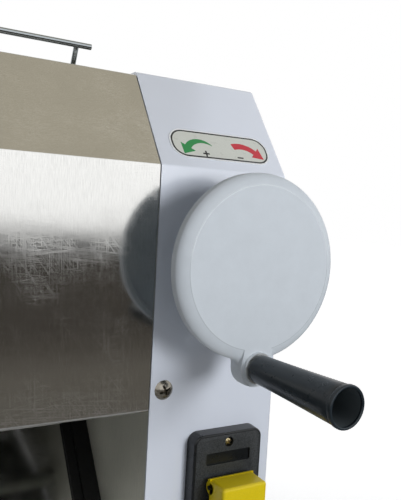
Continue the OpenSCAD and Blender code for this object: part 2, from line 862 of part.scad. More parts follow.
module motor_end_shields() {
  color("silver") for (x = [motor_x0 - shield_t, motor_x0 + motor_len]) difference() {
    union() {
      rod_x(motor_r, x, x + shield_t, motor_y, motor_z);
      rod_x(20, x - 3, x + shield_t + 3, motor_y, motor_z);
    }
    rod_x(motor_shaft_r + run, x - 4, x + shield_t + 4, motor_y, motor_z);
    rod_x(rotor_r + 1, x > motor_x0 ? x - 4 : x + shield_t, x > motor_x0 ? x : x + shield_t + 4,
      motor_y, motor_z);
  }
}

module motor_rotor() {
  fan_end = motor_x0 + motor_len + shield_t + 22;
  color("silver") {
    rod_x(rotor_r, motor_x0 + 15, motor_x0 + motor_len - 15, motor_y, motor_z);
    rod_x(motor_shaft_r, seam_l - pulley_u0 - pulley_w - 3, fan_end, motor_y, motor_z);
  }
}

module motor_fan() {
  x0 = motor_x0 + motor_len + shield_t + 6;
  color("black") difference() {
    union() {
      rod_x(13, x0, x0 + 12, motor_y, motor_z);
      for (a = [0 : 60 : 300]) translate([x0, motor_y, motor_z]) rotate([a, 0, 0])
        translate([0, -1, 11]) cube([12, 2, motor_r - 19]);
    }
    rod_x(motor_shaft_r + snug, x0 - through, x0 + 13, motor_y, motor_z);
  }
}

module motor_cradle() {
  half = motor_r * 0.72;
  color("dimgray") difference() {
    for (x = [motor_x0 + 12, motor_x0 + motor_len - 32]) {
      box([x, x + 20], [motor_y - half, motor_y + half], [tray_top, motor_z - motor_r * 0.55]);
    }
    rod_x(motor_r + run, motor_x0 - through, motor_x0 + motor_len + through, motor_y, motor_z);
  }
}

module start_capacitor() {
  x = dial_axis_x - 5;
  y = nip_y + 60;
  color("whitesmoke") translate([x, y, tray_top]) {
    cylinder(r = 20, h = 70);
    for (s = [-1, 1]) translate([s * 7 - 3, -0.4, 70]) cube([6, 0.8, 9]);
  }
}

// ---------- thickness adjustment ----------

module cross_shaft() {
  color("silver") rod_x(cross_r, seam_l - block_u1 - 1, dial_axis_x + 16, cross_y, cross_z);
}

module rack_pinions() {
  color("slategray") for (side = [-1, 1]) on_side(side) difference() {
    along_x(block_u0 + 0.5, block_u1 - 0.5) translate([cross_y, cross_z])
      polygon(gear_outline(pinion_m, pinion_teeth, 20, pinion_m, 1.25 * pinion_m, 0.2, 90));
    rod_x(cross_r + snug, block_u0, block_u1, cross_y, cross_z);
  }
}

module worm_wheel() {
  x0 = dial_axis_x - wheel_face / 2;
  color("goldenrod") difference() {
    along_x(x0, x0 + wheel_face) translate([cross_y, cross_z])
      polygon(gear_outline(worm_m, wheel_teeth, 20, worm_depth, worm_depth + 0.6, 0.9,
        90 + 180 / wheel_teeth));
    rod_x(cross_r + snug, x0 - through, x0 + wheel_face + through, cross_y, cross_z);
  }
}

// Thread ring at turn angle a: four corners of its trapezoid section
function thread_ring(a) =
  let (root = (worm_root + snug) / cos(180 / thread_steps), tip = worm_r + worm_depth,
       wide = thread_half + (worm_r - root) * tan(20), thin = thread_half - worm_depth * tan(20),
       y = cross_y + worm_lead * a / 360)
  [for (c = [[root, -wide], [root, wide], [tip, thin], [tip, -thin]])
    [c[0] * sin(a), y + c[1], -c[0] * cos(a)]];

// Thread of the worm, a closed coil fixed on the dial shaft
module worm() {
  last = thread_steps * worm_turns;
  rings = [for (i = [0 : last]) thread_ring((i / thread_steps - worm_turns / 2) * 360)];
  faces = concat([[0, 1, 2], [0, 2, 3]],
    [for (i = [0 : last - 1]) for (k = [0 : 3]) for (half = [0, 1])
      let (a = 4 * i + k, b = 4 * i + (k + 1) % 4)
      half == 0 ? [b, a, a + 4] : [b, a + 4, b + 4]],
    [[4 * last + 2, 4 * last + 1, 4 * last], [4 * last + 3, 4 * last + 2, 4 * last]]);
  color("silver") translate([dial_axis_x, 0, dial_z])
    polyhedron([for (r = rings) for (p = r) p], faces);
}

module dial_shaft() {
  back = cross_y + bracket_half + bracket_t + 6;
  color("silver") {
    rod_y(dial_shaft_r, dial_front_y + web_t - 1, back, dial_axis_x, dial_z);
    rod_y(worm_root, cross_y - worm_len / 2 - 3, cross_y + worm_len / 2 + 3, dial_axis_x, dial_z);
    rod_y(dial_shaft_r + 4, back - 5.5, back, dial_axis_x, dial_z);
  }
}

module dial_bracket() {
  ys = [cross_y - bracket_half - bracket_t, cross_y + bracket_half];
  color("silver") difference() {
    on_side(1) union() {
      box([plate_t, bracket_u1], [ys[0], ys[1] + bracket_t], [bracket_z, bracket_z + 5]);
      box([plate_t, plate_t + 5], [ys[0], ys[1] + bracket_t], [bracket_z - 28, bracket_z + 5]);
      for (y = ys) {
        box([bracket_u0, bracket_u1], [y, y + bracket_t], [bracket_z, dial_z + dial_shaft_r + 6]);
      }
      box([bracket_u1 - 5, bracket_u1], [cross_y - 13, cross_y + 13], [bracket_z, cross_z + 12]);
    }
    rod_y(dial_shaft_r + run, ys[0] - through, ys[1] + bracket_t + through, dial_axis_x, dial_z);
    rod_x(cross_r + run, seam_r + bracket_u1 - 6, seam_r + bracket_u1 + 1, cross_y, cross_z);
  }
}

module dial_flange() {
  color("silver") difference() {
    union() {
      rod_y(flange_r, front_y - flange_t, front_y, dial_axis_x, dial_z);
      rod_y(sleeve_r, front_y - flange_t, front_y + 14, dial_axis_x, dial_z);
    }
    rod_y(dial_shaft_r + run, front_y - flange_t - 1, front_y + 15, dial_axis_x, dial_z);
  }
}

// Half section of the dial as [radius, depth behind the front face]
function dial_section() =
  let (edge = arc([dial_r - 1.1 - dial_edge, dial_edge], dial_edge, -90, 0, 6),
       hub_back = dial_t + dial_standoff - flange_t - 1.5)
  concat([[0, 0]], edge, [[dial_r, dial_t], [dial_r - 4, dial_t], [dial_r - 6, web_t],
    [hub_r, web_t], [hub_r, hub_back], [0, hub_back]]);

module dial_disc() {
  neck = lug_r + 5;
  color("whitesmoke") translate([dial_axis_x, dial_front_y, dial_z]) difference() {
    union() {
      rotate([-90, 0, 0]) rotate_extrude($fn = 96) polygon(dial_section());
      translate([0, dial_t, 0]) rotate([90, 0, 0]) linear_extrude(dial_t) {
        translate([0, -crank_r]) circle(lug_r);
        polygon([[-neck, -dial_r + 6], [-lug_r, -crank_r], [lug_r, -crank_r],
          [neck, -dial_r + 6]]);
      }
    }
    rod_y(dial_shaft_r + snug, web_t - 1, dial_t + dial_standoff, 0, 0);
    rod_y(spindle_r + snug, -through, dial_t + through, 0, -crank_r);
  }
}

module grip_ferrule() {
  color("silver") difference() {
    rod_y(grip_base_d / 2 + 0.8, dial_front_y - ferrule_h, dial_front_y, dial_axis_x, grip_z);
    rod_y(spindle_r + snug, dial_front_y - 4, dial_front_y + 2, dial_axis_x, grip_z);
  }
}

module grip_spindle() {
  head_y = grip_base_y - grip_floor - gap;
  color("silver") {
    rod_y(spindle_r, head_y, dial_back_y, dial_axis_x, grip_z);
    rod_y(spindle_r + 2.2, head_y - 4, head_y, dial_axis_x, grip_z);
  }
}

// Outer radius of the grip at a share s of its length
function grip_radius(s) =
  grip_base_d / 2 + (grip_tip_d - grip_base_d) / 2 * pow(min(1, s / 0.94), 1.6);

function grip_section() =
  let (wall = 2.6, tip = grip_tip_d / 2)
  concat([[spindle_r + run, 0], [grip_base_d / 2 - 1, 0]],
    [for (i = [0 : 8]) let (s = 0.02 + 0.92 * i / 8) [grip_radius(s), grip_len * s]],
    arc([tip - 1.5, grip_len - 1.5], 1.5, 0, 150, 5),
    [[tip - wall - 0.6, grip_len - 5], [grip_radius(grip_floor / grip_len + 0.05) - wall,
      grip_floor + 2], [spindle_r + 2.6, grip_floor], [spindle_r + run, grip_floor]]);

module handle_grip() {
  color("black") translate([dial_axis_x, grip_base_y, grip_z]) rotate([90, 0, 0])
    rotate_extrude() polygon(grip_section());
}

module thickness_label() {
  label = [79, 23];
  low = 9;
  color("white") translate([seam_r + 50.5, front_y, bend_z]) rotate([slope, 0, 0])
    translate([0, low + label[1] / 2, 0]) linear_extrude(0.6)
    rounded_rect(label[0], label[1], 10);
}

// ---------- switch ----------

module switch_plate() {
  pocket = gap + 0.2;
  color("dimgray") difference() {
    union() {
      front_block(switch_w, switch_h, switch_r, switch_t - 2, switch_cx, front_y, switch_cz);
      front_block(switch_w - 4, switch_h - 4, switch_r - 2, switch_t, switch_cx, front_y,
        switch_cz);
      box([switch_cx - block_w / 2, switch_cx + block_w / 2],
        [switch_front - block_out, switch_front], [flap_top - flap_h + 4, hinge_z - block_drop]);
      rod_x(barrel_r, switch_cx - block_w / 2, switch_cx + block_w / 2, hinge_y, hinge_z);
      rod_x(hinge_r, switch_cx - flap_w / 2 - 1, switch_cx + flap_w / 2 + 1, hinge_y, hinge_z);
    }
    for (z = [start_z, stop_z]) {
      front_block(button_w + 2 * pocket, button_h + 2 * pocket, 1, 20, switch_cx,
        button_y + button_t + 4, z);
    }
    front_block(35, 8, 1, 2, switch_cx, switch_front + 1, switch_top - 17.5);
    for (z = switch_screw_z) {
      rod_y(switch_well_r, switch_front - through, switch_front + switch_screw_seat, switch_cx, z);
      rod_y(switch_screw_r + snug, switch_front - through, front_y + through, switch_cx, z);
    }
  }
}

module switch_screws() {
  color("goldenrod") for (z = switch_screw_z) {
    translate([switch_cx, switch_front + switch_screw_seat, z])
      dome_screw(switch_head_r, switch_screw_r, switch_t + 6);
  }
}

module switch_body() {
  half = block_w / 2;
  color("dimgray") {
    box([switch_cx - half, switch_cx + half], [front_y, front_y + 38],
      [stop_z - body_half_h, start_z + body_half_h]);
    for (z = [start_z, stop_z]) for (s = [-1, 1]) {
      box([switch_cx + s * 8 - 3, switch_cx + s * 8 + 3], [front_y + 37, front_y + 46],
        [z - 0.4, z + 0.4]);
    }
  }
}

module button(z) {
  front_block(button_w, button_h, 0.8, button_t, switch_cx, button_y + button_t, z);
}

module start_button() {
  color("green") button(start_z);
}

module stop_button() {
  color("firebrick") button(stop_z);
}

module switch_flap() {
  x = [switch_cx - flap_w / 2, switch_cx + flap_w / 2];
  low = flap_top - flap_h;
  back = switch_front - 6;
  color("gold") difference() {
    union() {
      box(x, [flap_front, back], [low, flap_top]);
      rod_x(knuckle_r, x[0], x[1], hinge_y, hinge_z);
    }
    box([x[0] + flap_t, x[1] - flap_t], [flap_front + flap_t, back + 10],
      [low + flap_t, flap_top - flap_t]);
    rod_x(hinge_r + run, x[0] - 1, x[1] + 1, hinge_y, hinge_z);
    rod_y(stem_r + run, flap_front - 1, flap_front + flap_t + 1, switch_cx, stop_z);
  }
}

module stop_mushroom() {
  base = flap_front - 5;
  dome = arc([0, 0], 15, 0, 90, 8);
  color("crimson") {
    translate([switch_cx, base, stop_z]) rotate([90, 0, 0])
      rotate_extrude() polygon(concat([[0, 0]], [for (p = dome) [p[0], 2 + p[1] * 0.5]]));
    translate([switch_cx, base, stop_z]) rotate([90, 0, 0]) cylinder(r = 15, h = 2);
    rod_y(stem_r, base, button_y - gap - 0.1, switch_cx, stop_z);
    rod_y(6, flap_front + flap_t + 0.5, flap_front + flap_t + 2.5, switch_cx, stop_z);
  }
}

module cord_gland() {
  x = dial_axis_x;
  z = floor_z + 45;
  hex = 11;
  color("dimgray") {
    difference() {
      union() {
        translate([x, back_y, z]) rotate([-90, 0, 0]) cylinder(r = hex, h = 6, $fn = 6);
        rod_y(8, back_y - 12, back_y + gland_out - 3, x, z);
        translate([x, back_y + 6, z]) rotate([-90, 0, 0]) rotate_extrude()
          polygon([[0, 0], [10.5, 0], [10, gland_out - 9], [7, gland_out - 6], [0, gland_out - 6]]);
      }
      rod_y(4, back_y - 13, back_y + gland_out + 1, x, z);
    }
    difference() {
      translate([x, back_y - cover_t - 6, z]) rotate([-90, 0, 0])
        cylinder(r = hex, h = 6, $fn = 6);
      rod_y(8 + snug, back_y - 15, back_y, x, z);
    }
  }
}

right_side_plate();
left_side_plate();
tie_bars();
base_tray();
right_cover();
left_cover();
cover_screws();
front_hood();
rear_hood();
front_hopper_plate();
rear_hopper_plate();
chute();
chute_side_guides();
rear_roller_bushes();
gear_bridge();
shaft_bushes();
v_belt();
motor_housing();
motor_end_shields();
motor_cradle();
start_capacitor();
dial_bracket();
dial_flange();
thickness_label();
switch_plate();
switch_body();
switch_screws();
rear_scraper();
rubber_feet();
foot_screws();
cord_gland();
guard_brackets();
rear_roller();
rear_link_gear();
reduction_gear();
front_roller();
front_link_gear();
bearing_blocks();
front_roller_bushes();
front_scraper();
countershaft();
countershaft_pinion();
driven_pulley();
motor_rotor();
motor_fan();
motor_pulley();
dial_disc();
dial_shaft();
worm();
grip_spindle();
grip_ferrule();
handle_grip();
cross_shaft();
worm_wheel();
rack_pinions();
switch_flap();
stop_mushroom();
start_button();
stop_button();
feed_guard();
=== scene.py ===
"""Looks of an electric dough sheeter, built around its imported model.

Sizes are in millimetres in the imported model's frame: +Z up and the front towards -Y.
The stage alone is in metres.
"""

import math
from types import SimpleNamespace

import bmesh
import bpy
import numpy as np
from mathutils import Matrix, Vector


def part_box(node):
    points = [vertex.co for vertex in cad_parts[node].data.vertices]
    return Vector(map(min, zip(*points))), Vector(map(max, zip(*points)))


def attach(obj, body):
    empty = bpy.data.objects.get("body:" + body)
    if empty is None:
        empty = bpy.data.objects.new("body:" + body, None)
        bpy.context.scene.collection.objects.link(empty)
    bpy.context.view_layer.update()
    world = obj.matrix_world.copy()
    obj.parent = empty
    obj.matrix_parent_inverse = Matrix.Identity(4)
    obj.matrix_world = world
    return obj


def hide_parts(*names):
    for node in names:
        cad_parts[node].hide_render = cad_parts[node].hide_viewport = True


bl_info = {
    "name": "Dough Sheeter Looks",
    "version": (1, 0, 0),
    "blender": (4, 5, 0),
    "location": "View3D > Sidebar > Sheeter",
    "description": "Builds the visible pieces and finishes of an electric dough sheeter",
    "category": "Object",
}

MM = 0.001
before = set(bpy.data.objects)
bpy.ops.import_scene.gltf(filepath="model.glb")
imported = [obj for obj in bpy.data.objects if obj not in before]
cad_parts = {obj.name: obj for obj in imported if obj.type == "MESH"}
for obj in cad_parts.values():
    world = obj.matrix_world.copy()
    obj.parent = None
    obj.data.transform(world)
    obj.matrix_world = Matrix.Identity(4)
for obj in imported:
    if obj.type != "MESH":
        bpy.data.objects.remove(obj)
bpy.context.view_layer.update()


def linear(hex_colour):
    """Linear RGB of an sRGB hex colour."""
    parts = [int(hex_colour[i : i + 2], 16) / 255 for i in (0, 2, 4)]
    return [p / 12.92 if p <= 0.04045 else ((p + 0.055) / 1.055) ** 2.4 for p in parts]


def in_mm(group):
    """A property group's lengths in millimetres."""
    return SimpleNamespace(**{key: getattr(group, key) / MM for key in group.__annotations__})


def cad(node):
    """Lowest and highest corner of a CAD node, in millimetres."""
    low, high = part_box(node)
    return np.array(low) / MM, np.array(high) / MM


# ---------- sizes and colours ----------


def length(name, description, default):
    """A length that the sidebar shows, from its default in millimetres."""
    return bpy.props.FloatProperty(
        name=name, description=description, default=default * MM, min=0.05 * MM, max=0.1,
        precision=4, subtype="DISTANCE", unit="LENGTH",
    )


def colour(name, description, hex_colour):
    """A colour that the sidebar shows."""
    return bpy.props.FloatVectorProperty(
        name=name, description=description, default=linear(hex_colour), subtype="COLOR",
        size=3, min=0, max=1,
    )


class SheeterSizes(bpy.types.PropertyGroup):
    """Sizes of the visible detail"""

    cover_bend: length("Cover bend", "Outer radius of the covers' front bends", 3.5)
    cover_edge: length("Cover edge", "Radius of the covers' outer side edges", 3.0)
    hood_bend: length("Hood bend", "Outer radius of the stainless sheet's bends", 2.2)
    rim_width: length("Rim width", "How far the dial's rounding runs in over its face", 7.2)
    rim_depth: length("Rim depth", "How far the dial's rounding runs back", 6.0)
    lug_blend: length("Lug blend", "How softly the lug runs into the dial", 4.5)
    grip_wall: length("Grip wall", "Wall of the grip at its open end", 1.7)
    plate_edge: length("Plate edge", "Radius of the switch plate's front edge", 1.3)
    flap_edge: length("Flap edge", "Radius of the flap's front edges", 2.2)


class SheeterColours(bpy.types.PropertyGroup):
    """Colours of the finishes"""

    enamel: colour("Covers", "Powder coat of the two housings", "DFE6F3")
    dial: colour("Dial", "Paint of the dial", "CCD4DC")
    stainless: colour("Stainless", "Brushed stainless sheet", "D2D2D0")
    grip: colour("Grip", "Plastic of the revolving grip", "1F2930")
    switch: colour("Switch", "Plain plastic of the switch", "0D1114")
    pebble: colour("Switch face", "Pebbled face of the switch plate", "2C2F31")
    flap: colour("Flap", "Plastic of the emergency flap", "E0C800")
    stop: colour("Stop", "Plastic of the stop button and mushroom", "B5121B")
    start: colour("Start", "Plastic of the start button", "1E7A3C")
    label: colour("Label", "Ground of the thickness label", "D6D9D2")


# ---------- node trees ----------


def feed(node, inputs):
    """Fills a node's inputs with values or output sockets; a node stands for its first
    output in use."""
    for key, value in inputs.items():
        if isinstance(value, bpy.types.Node):
            value = next(output for output in value.outputs if output.enabled)
        if isinstance(value, bpy.types.NodeSocket):
            node.id_data.links.new(value, node.inputs[key])
        else:
            node.inputs[key].default_value = value


def add(tree, kind, inputs=None, **settings):
    """Adds one shader node with its settings and inputs."""
    made = tree.nodes.new("ShaderNode" + kind)
    for key, value in settings.items():
        setattr(made, key, value)
    feed(made, inputs or {})
    return made


def start_material(name, **values):
    """A new material and its Principled shader, with plain values set on the shader."""
    made = bpy.data.materials.new(name)
    made.use_nodes = True
    shader = made.node_tree.nodes["Principled BSDF"]
    feed(shader, values)
    return made, shader


def empty_tree(owner):
    """The cleared node tree of a material or of the world."""
    owner.use_nodes = True
    owner.node_tree.nodes.clear()
    return owner.node_tree


def tones(base, darker, lighter):
    """The darkest and the lightest tone that a finish runs between, as RGBA; its base is
    a hex value or a sidebar colour."""
    base = linear(base) if isinstance(base, str) else base
    return [(*(min(1.0, c * share) for c in base), 1) for share in (darker, lighter)]


def lay_grain(shader, size_mm, colours=None, rough=None, relief_mm=0.0, stretch=(1, 1, 1),
              turn=(0, 0, 0), detail=2):
    """Lays one grain over a shader at its real size in millimetres.

    colours are the two it runs between, rough its two roughnesses and relief_mm its
    height. It is turned by turn, and drawn out along an axis whose stretch is below 1.
    """
    tree = shader.id_data
    place = add(tree, "TexCoord").outputs["Object"]
    straight = add(tree, "Mapping", {"Vector": place, "Rotation": turn})
    drawn = add(tree, "Mapping", {"Vector": straight, "Scale": stretch})
    noise = {"Vector": drawn, "Scale": 1 / (size_mm * MM), "Detail": detail, "Roughness": 0.6}
    grain = add(tree, "TexNoise", noise)
    # Nearly all of a noise lies in this middle part of its range
    middle = {"Value": grain, "From Min": 0.3, "From Max": 0.7}
    if colours:
        ends = {"Factor": add(tree, "MapRange", middle), "A": colours[0], "B": colours[1]}
        feed(shader, {"Base Color": add(tree, "Mix", ends, data_type="RGBA")})
    if rough:
        level = {**middle, "To Min": rough[0], "To Max": rough[1]}
        feed(shader, {"Roughness": add(tree, "MapRange", level)})
    if relief_mm:
        relief = {"Height": grain, "Distance": relief_mm * MM}
        feed(shader, {"Normal": add(tree, "Bump", relief)})
    return grain


# ---------- materials ----------


def powder_coat(name, base):
    """Powder-coated steel sheet: an even, soft gloss with a faint orange peel.

    The peel of about 1.6 mm is barely high enough to soften reflections. Tone and gloss
    drift slowly, over some 60 and 9 mm.
    """
    made, shader = start_material(name, IOR=2.0)
    lay_grain(shader, 60, colours=tones(base, 0.985, 1.0), detail=3)
    lay_grain(shader, 9, rough=(0.14, 0.19))
    lay_grain(shader, 1.6, relief_mm=0.008, detail=1)
    return made


def stove_enamel(name, base, rough=0.43, index=1.5):
    """Stove-enamelled cast aluminium: satin paint over a fine pebbled casting skin."""
    made, shader = start_material(name, IOR=index)
    lay_grain(shader, 12, colours=tones(base, 0.965, 1.015), detail=4)
    lay_grain(shader, 1.3, rough=(rough * 0.84, rough * 1.16), relief_mm=0.025)
    return made


def brushed_stainless(name, base, rough=(0.06, 0.125), metallic=1.0):
    """Brushed stainless sheet: fine upright brush lines draw a highlight out sideways,
    and patches of light hairline scratches from wiping cross them.

    Real brush lines are 0.1 mm wide; they are drawn 0.35 mm wide to show at this size.
    """
    line_mm, hair_mm, patch_mm, relief_mm = 0.35, 0.4, 40, 0.002
    hair_angles, hair_bright, hair_rough = (38, 3, 84, 97), 0.22, 0.17
    made, shader = start_material(name, Metallic=metallic)
    tree = shader.id_data
    lines = lay_grain(shader, line_mm, stretch=(1, 1, 0.05), detail=3)
    hairs = 0.0
    for angle in hair_angles:
        turn = (0, math.radians(angle), 0)
        hair = lay_grain(shader, hair_mm, stretch=(1, 1, 0.012), turn=turn, detail=0)
        line = add(tree, "MapRange", {"Value": hair, "From Min": 0.56, "From Max": 0.7})
        hairs = add(tree, "Math", {0: line, 1: hairs}, operation="MAXIMUM")
    worn = lay_grain(shader, patch_mm, detail=3)
    patch = add(tree, "MapRange", {"Value": worn, "From Min": 0.38, "From Max": 0.7})
    marks = add(tree, "Math", {0: hairs, 1: patch}, operation="MULTIPLY")

    dull, bright = tones(base, 0.86, 1.06)
    grain = add(tree, "MapRange", {"Value": lines, "From Min": 0.28, "From Max": 0.72})
    sheet = add(tree, "Mix", {"Factor": grain, "A": dull, "B": bright}, data_type="RGBA")
    share = add(tree, "Math", {0: marks, 1: hair_bright}, operation="MULTIPLY")
    ends = {"Factor": share, "A": sheet, "B": tones(base, 1.0, 1.5)[1]}
    marked = add(tree, "Mix", ends, data_type="RGBA")

    ends = {"From Min": 0.3, "From Max": 0.7, "To Min": rough[0], "To Max": rough[1]}
    level = add(tree, "MapRange", {"Value": lines, **ends})
    rubbed = add(tree, "Math", {0: marks, 1: hair_rough, 2: level}, operation="MULTIPLY_ADD")
    relief = add(tree, "Bump", {"Height": lines, "Distance": relief_mm * MM})
    feed(shader, {"Base Color": marked, "Roughness": rubbed, "Normal": relief})
    return made


def galvanised_sheet(name, base):
    """Hot-dip galvanised sheet: dull grey with cloudy spangles about 9 mm across."""
    spangle_mm = 9
    made, shader = start_material(name, Metallic=1.0)
    lay_grain(shader, 5, rough=(0.43, 0.57), detail=3)
    tree = shader.id_data
    place = add(tree, "TexCoord").outputs["Object"]
    spangles = add(tree, "TexVoronoi", {"Vector": place, "Scale": 1 / (spangle_mm * MM)})
    tone = add(tree, "SeparateColor", {0: spangles.outputs["Color"]})
    dull, bright = tones(base, 0.9, 1.06)
    mix = add(tree, "Mix", {"Factor": tone, "A": dull, "B": bright}, data_type="RGBA")
    feed(shader, {"Base Color": mix})
    return made


def turned_metal(name, base, rough):
    """Turned or ground metal: tool lines 0.6 mm wide that run round an axis along X."""
    made, shader = start_material(name, Metallic=1.0)
    look = {"colours": tones(base, 0.92, 1.04), "rough": (rough * 0.8, rough * 1.2)}
    lay_grain(shader, 0.6, **look, relief_mm=0.003, stretch=(1, 0.02, 0.02))
    return made


def plated_steel(name, base, rough):
    """Bright zinc, brass or chrome plating: a clear reflection with faint hazy patches."""
    made, shader = start_material(name, Metallic=1.0)
    span = (rough * 0.75, rough * 1.25)
    lay_grain(shader, 2.5, colours=tones(base, 0.93, 1.03), rough=span, detail=3)
    return made


def cast_metal(name, base, rough):
    """Sand-cast or die-cast metal: a dull skin with a coarse grain of about 1 mm."""
    made, shader = start_material(name, Metallic=1.0)
    look = {"colours": tones(base, 0.85, 1.08), "rough": (rough - 0.08, rough + 0.1)}
    lay_grain(shader, 1.1, **look, relief_mm=0.05, detail=3)
    return made


def moulded_plastic(name, base, rough, grain_mm=0.7, relief_mm=0.004, contrast=0.04, index=1.49):
    """Injection-moulded plastic or printed film: an even sheen with a fine mould grain."""
    made, shader = start_material(name, IOR=index)
    lay_grain(shader, 6, rough=(rough * 0.85, rough * 1.15), detail=3)
    span = tones(base, 1 - contrast, 1 + contrast)
    lay_grain(shader, grain_mm, colours=span, relief_mm=relief_mm)
    return made


def make_finishes(own):
    """All finishes by the record's material slot; own holds the sidebar's colours."""
    return {
        "white_enamel": powder_coat("powder_coated_steel", own.enamel),
        "dial_enamel": stove_enamel("stove_enamelled_casting", own.dial),
        "stainless": brushed_stainless("brushed_stainless_sheet", own.stainless),
        "galvanised": galvanised_sheet("galvanised_sheet", "8E9088"),
        "bright_steel": turned_metal("ground_chromed_steel", "DADBDB", 0.16),
        "shaft_steel": turned_metal("turned_bright_shaft", "C9C9C6", 0.24),
        "gear_steel": turned_metal("hobbed_gear_steel", "8B8D90", 0.34),
        "bronze": turned_metal("turned_bronze", "C8A05A", 0.3),
        "block_iron": cast_metal("machined_cast_iron", "6E7072", 0.55),
        "zinc_screws": plated_steel("zinc_plated_fixings", "989389", 0.27),
        "motor_paint": moulded_plastic("motor_machine_enamel", "5C646B", 0.4, 1.5, 0.02),
        "motor_castings": cast_metal("die_cast_aluminium", "B4B6B8", 0.45),
        "black_rubber": moulded_plastic("moulded_black_rubber", "1A1A1B", 0.75, 0.6, 0.01),
        "black_bakelite": moulded_plastic(
            "moulded_grip_bakelite", own.grip, 0.3, relief_mm=0.0005, index=1.43
        ),
        "black_plastic": moulded_plastic("moulded_switch_plastic", own.switch, 0.3, index=1.45),
        "brass_screws": plated_steel("brass_plated_screws", "D0C29A", 0.3),
        "label_film": moulded_plastic("printed_label_film", own.label, 0.3),
        "capacitor_can": moulded_plastic("capacitor_can_plastic", "D9D9D6", 0.4),
        "yellow_plastic": moulded_plastic("moulded_yellow_plastic", own.flap, 0.35),
        "red_plastic": moulded_plastic("moulded_red_plastic", own.stop, 0.3),
        "green_plastic": moulded_plastic("moulded_green_plastic", own.start, 0.3),
        # Finishes that only some visible pieces use
        "enamel_edge": stove_enamel("burnished_enamel_edge", own.dial, 0.16, 2.3),
        # Painted shade: a darker grey for the dial's back and hollow, which face the panel in shade and
        # show dark in the stainless below
        "painted_shade_back": stove_enamel("dial_back_painted_shade", "9EA7AC", 0.6),
        "side_strip": moulded_plastic("matt_black_side_strip", "060707", 0.6, index=1.3),
        "inner_stainless": brushed_stainless("matt_stainless_plate", "DCDCD0", (0.4, 0.5), 0.45),
        "collar": plated_steel("satin_nickel_collar", "D5D8DA", 0.5),
        "guard_chrome": plated_steel("chromed_guard_wire", "9DA3A6", 0.12),
        # Painted light: a lighter grey than the grip for the inside of its hollow open end, standing in
        # for light inside the bore
        "painted_light_bore": moulded_plastic("grip_bore_painted_light", "555D61", 0.45),
        "pebbled_plastic": moulded_plastic("pebbled_switch_plastic", own.pebble, 0.5, 0.9, 0.06, 0.7),
        "label_edge": moulded_plastic("label_white_film", "EDF0F2", 0.3),
        "label_ink": moulded_plastic("label_black_ink", "101214", 0.4),
        "label_green": moulded_plastic("label_green_ink", "1F8A47", 0.4),
        "label_red": moulded_plastic("label_red_ink", "C9303F", 0.4),
    }


FINISH = {}
# The record's slot for each finish that isn't named in the record
RECORD_SLOT = {
    "inner_stainless": "stainless",
    "enamel_edge": "dial_enamel",
    "painted_shade_back": "dial_enamel",
    "guard_chrome": "bright_steel",
    "painted_light_bore": "black_bakelite",
    "pebbled_plastic": "black_plastic",
    **dict.fromkeys(("label_edge", "label_ink", "label_green", "label_red"), "label_film"),
}
# CAD nodes that don't wear the finish of their own slot
NODE_FINISH = {
    "chute_side_guides": "side_strip",
    "grip_ferrule": "collar",
    "left_side_plate": "inner_stainless",
    "right_side_plate": "inner_stainless",
}


# ---------- mesh helpers ----------

X, Y, Z = range(3)
WELD = 1e-6  # metres
SHARP = 32


def new_object(name, data):
    """A new object in the scene."""
    made = bpy.data.objects.new(name, data)
    bpy.context.scene.collection.objects.link(made)
    return made


def mesh_object(name, shape):
    """An object from points in millimetres and faces, welded and facing outwards."""
    points, faces = shape
    mesh = bpy.data.meshes.new(name)
    mesh.from_pydata((points * MM).tolist(), [], faces)
    mesh.validate()
    work = bmesh.new()
    work.from_mesh(mesh)
    bmesh.ops.remove_doubles(work, verts=work.verts, dist=WELD)
    bmesh.ops.recalc_face_normals(work, faces=work.faces)
    work.to_mesh(mesh)
    work.free()
    return new_object(name, mesh)


def smooth(mesh, sharp=SHARP):
    """Shades a mesh smooth but for its edges above an angle in degrees."""
    mesh.shade_smooth()
    mesh.set_sharp_from_angle(angle=math.radians(sharp))


def mesh_piece(name, shape, slot, body="frame", node=None, sharp=SHARP):
    """A piece with a finish that rides on a body and may stand for a CAD node."""
    piece = mesh_object(name, shape)
    smooth(piece.data, sharp)
    piece.data.materials.append(FINISH[slot])
    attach(piece, body)
    if node:
        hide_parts(node)
    return piece


def loft(rings, closed=True, caps=True):
    """Points and faces of a skin over rings of equal counts, with its ends filled."""
    count = len(rings[0])
    last = (len(rings) - 1) * count
    faces = []
    for a in range(0, last, count):
        for i in range(count if closed else count - 1):
            j = (i + 1) % count
            faces.append((a + i, a + j, a + count + j, a + count + i))
    if caps:
        faces += [tuple(range(count))[::-1], tuple(range(last, last + count))]
    return np.concatenate(rings), faces


def loop_skin(rings):
    """Points and faces of a skin whose last ring meets its first, such as a tube's wall."""
    return loft([*rings, rings[0]], caps=False)


def join_parts(parts):
    """Points and faces of several parts as one."""
    points, faces, first = [], [], 0
    for more_points, more_faces in parts:
        points.append(more_points)
        faces += [tuple(i + first for i in f) for f in more_faces]
        first += len(more_points)
    return np.concatenate(points), faces


def full_turn(steps):
    """Even angles of one turn."""
    return np.linspace(0, 2 * math.pi, steps, endpoint=False)


def circle(angles):
    """Points of a circle of radius 1 at some angles."""
    return np.stack([np.cos(angles), np.sin(angles)], 1)


def unit(vector):
    """A vector's direction."""
    return vector / np.linalg.norm(vector)


def placed(outline, axis, at):
    """Points of a plane outline at a place along the axis that it lacks."""
    return np.insert(np.asarray(outline, float), axis, at, axis=1)


def arc(centre, radius, start, end, steps):
    """Points of an arc in a plane; the angles are in degrees."""
    return np.asarray(centre) + radius * circle(np.radians(np.linspace(start, end, steps + 1)))


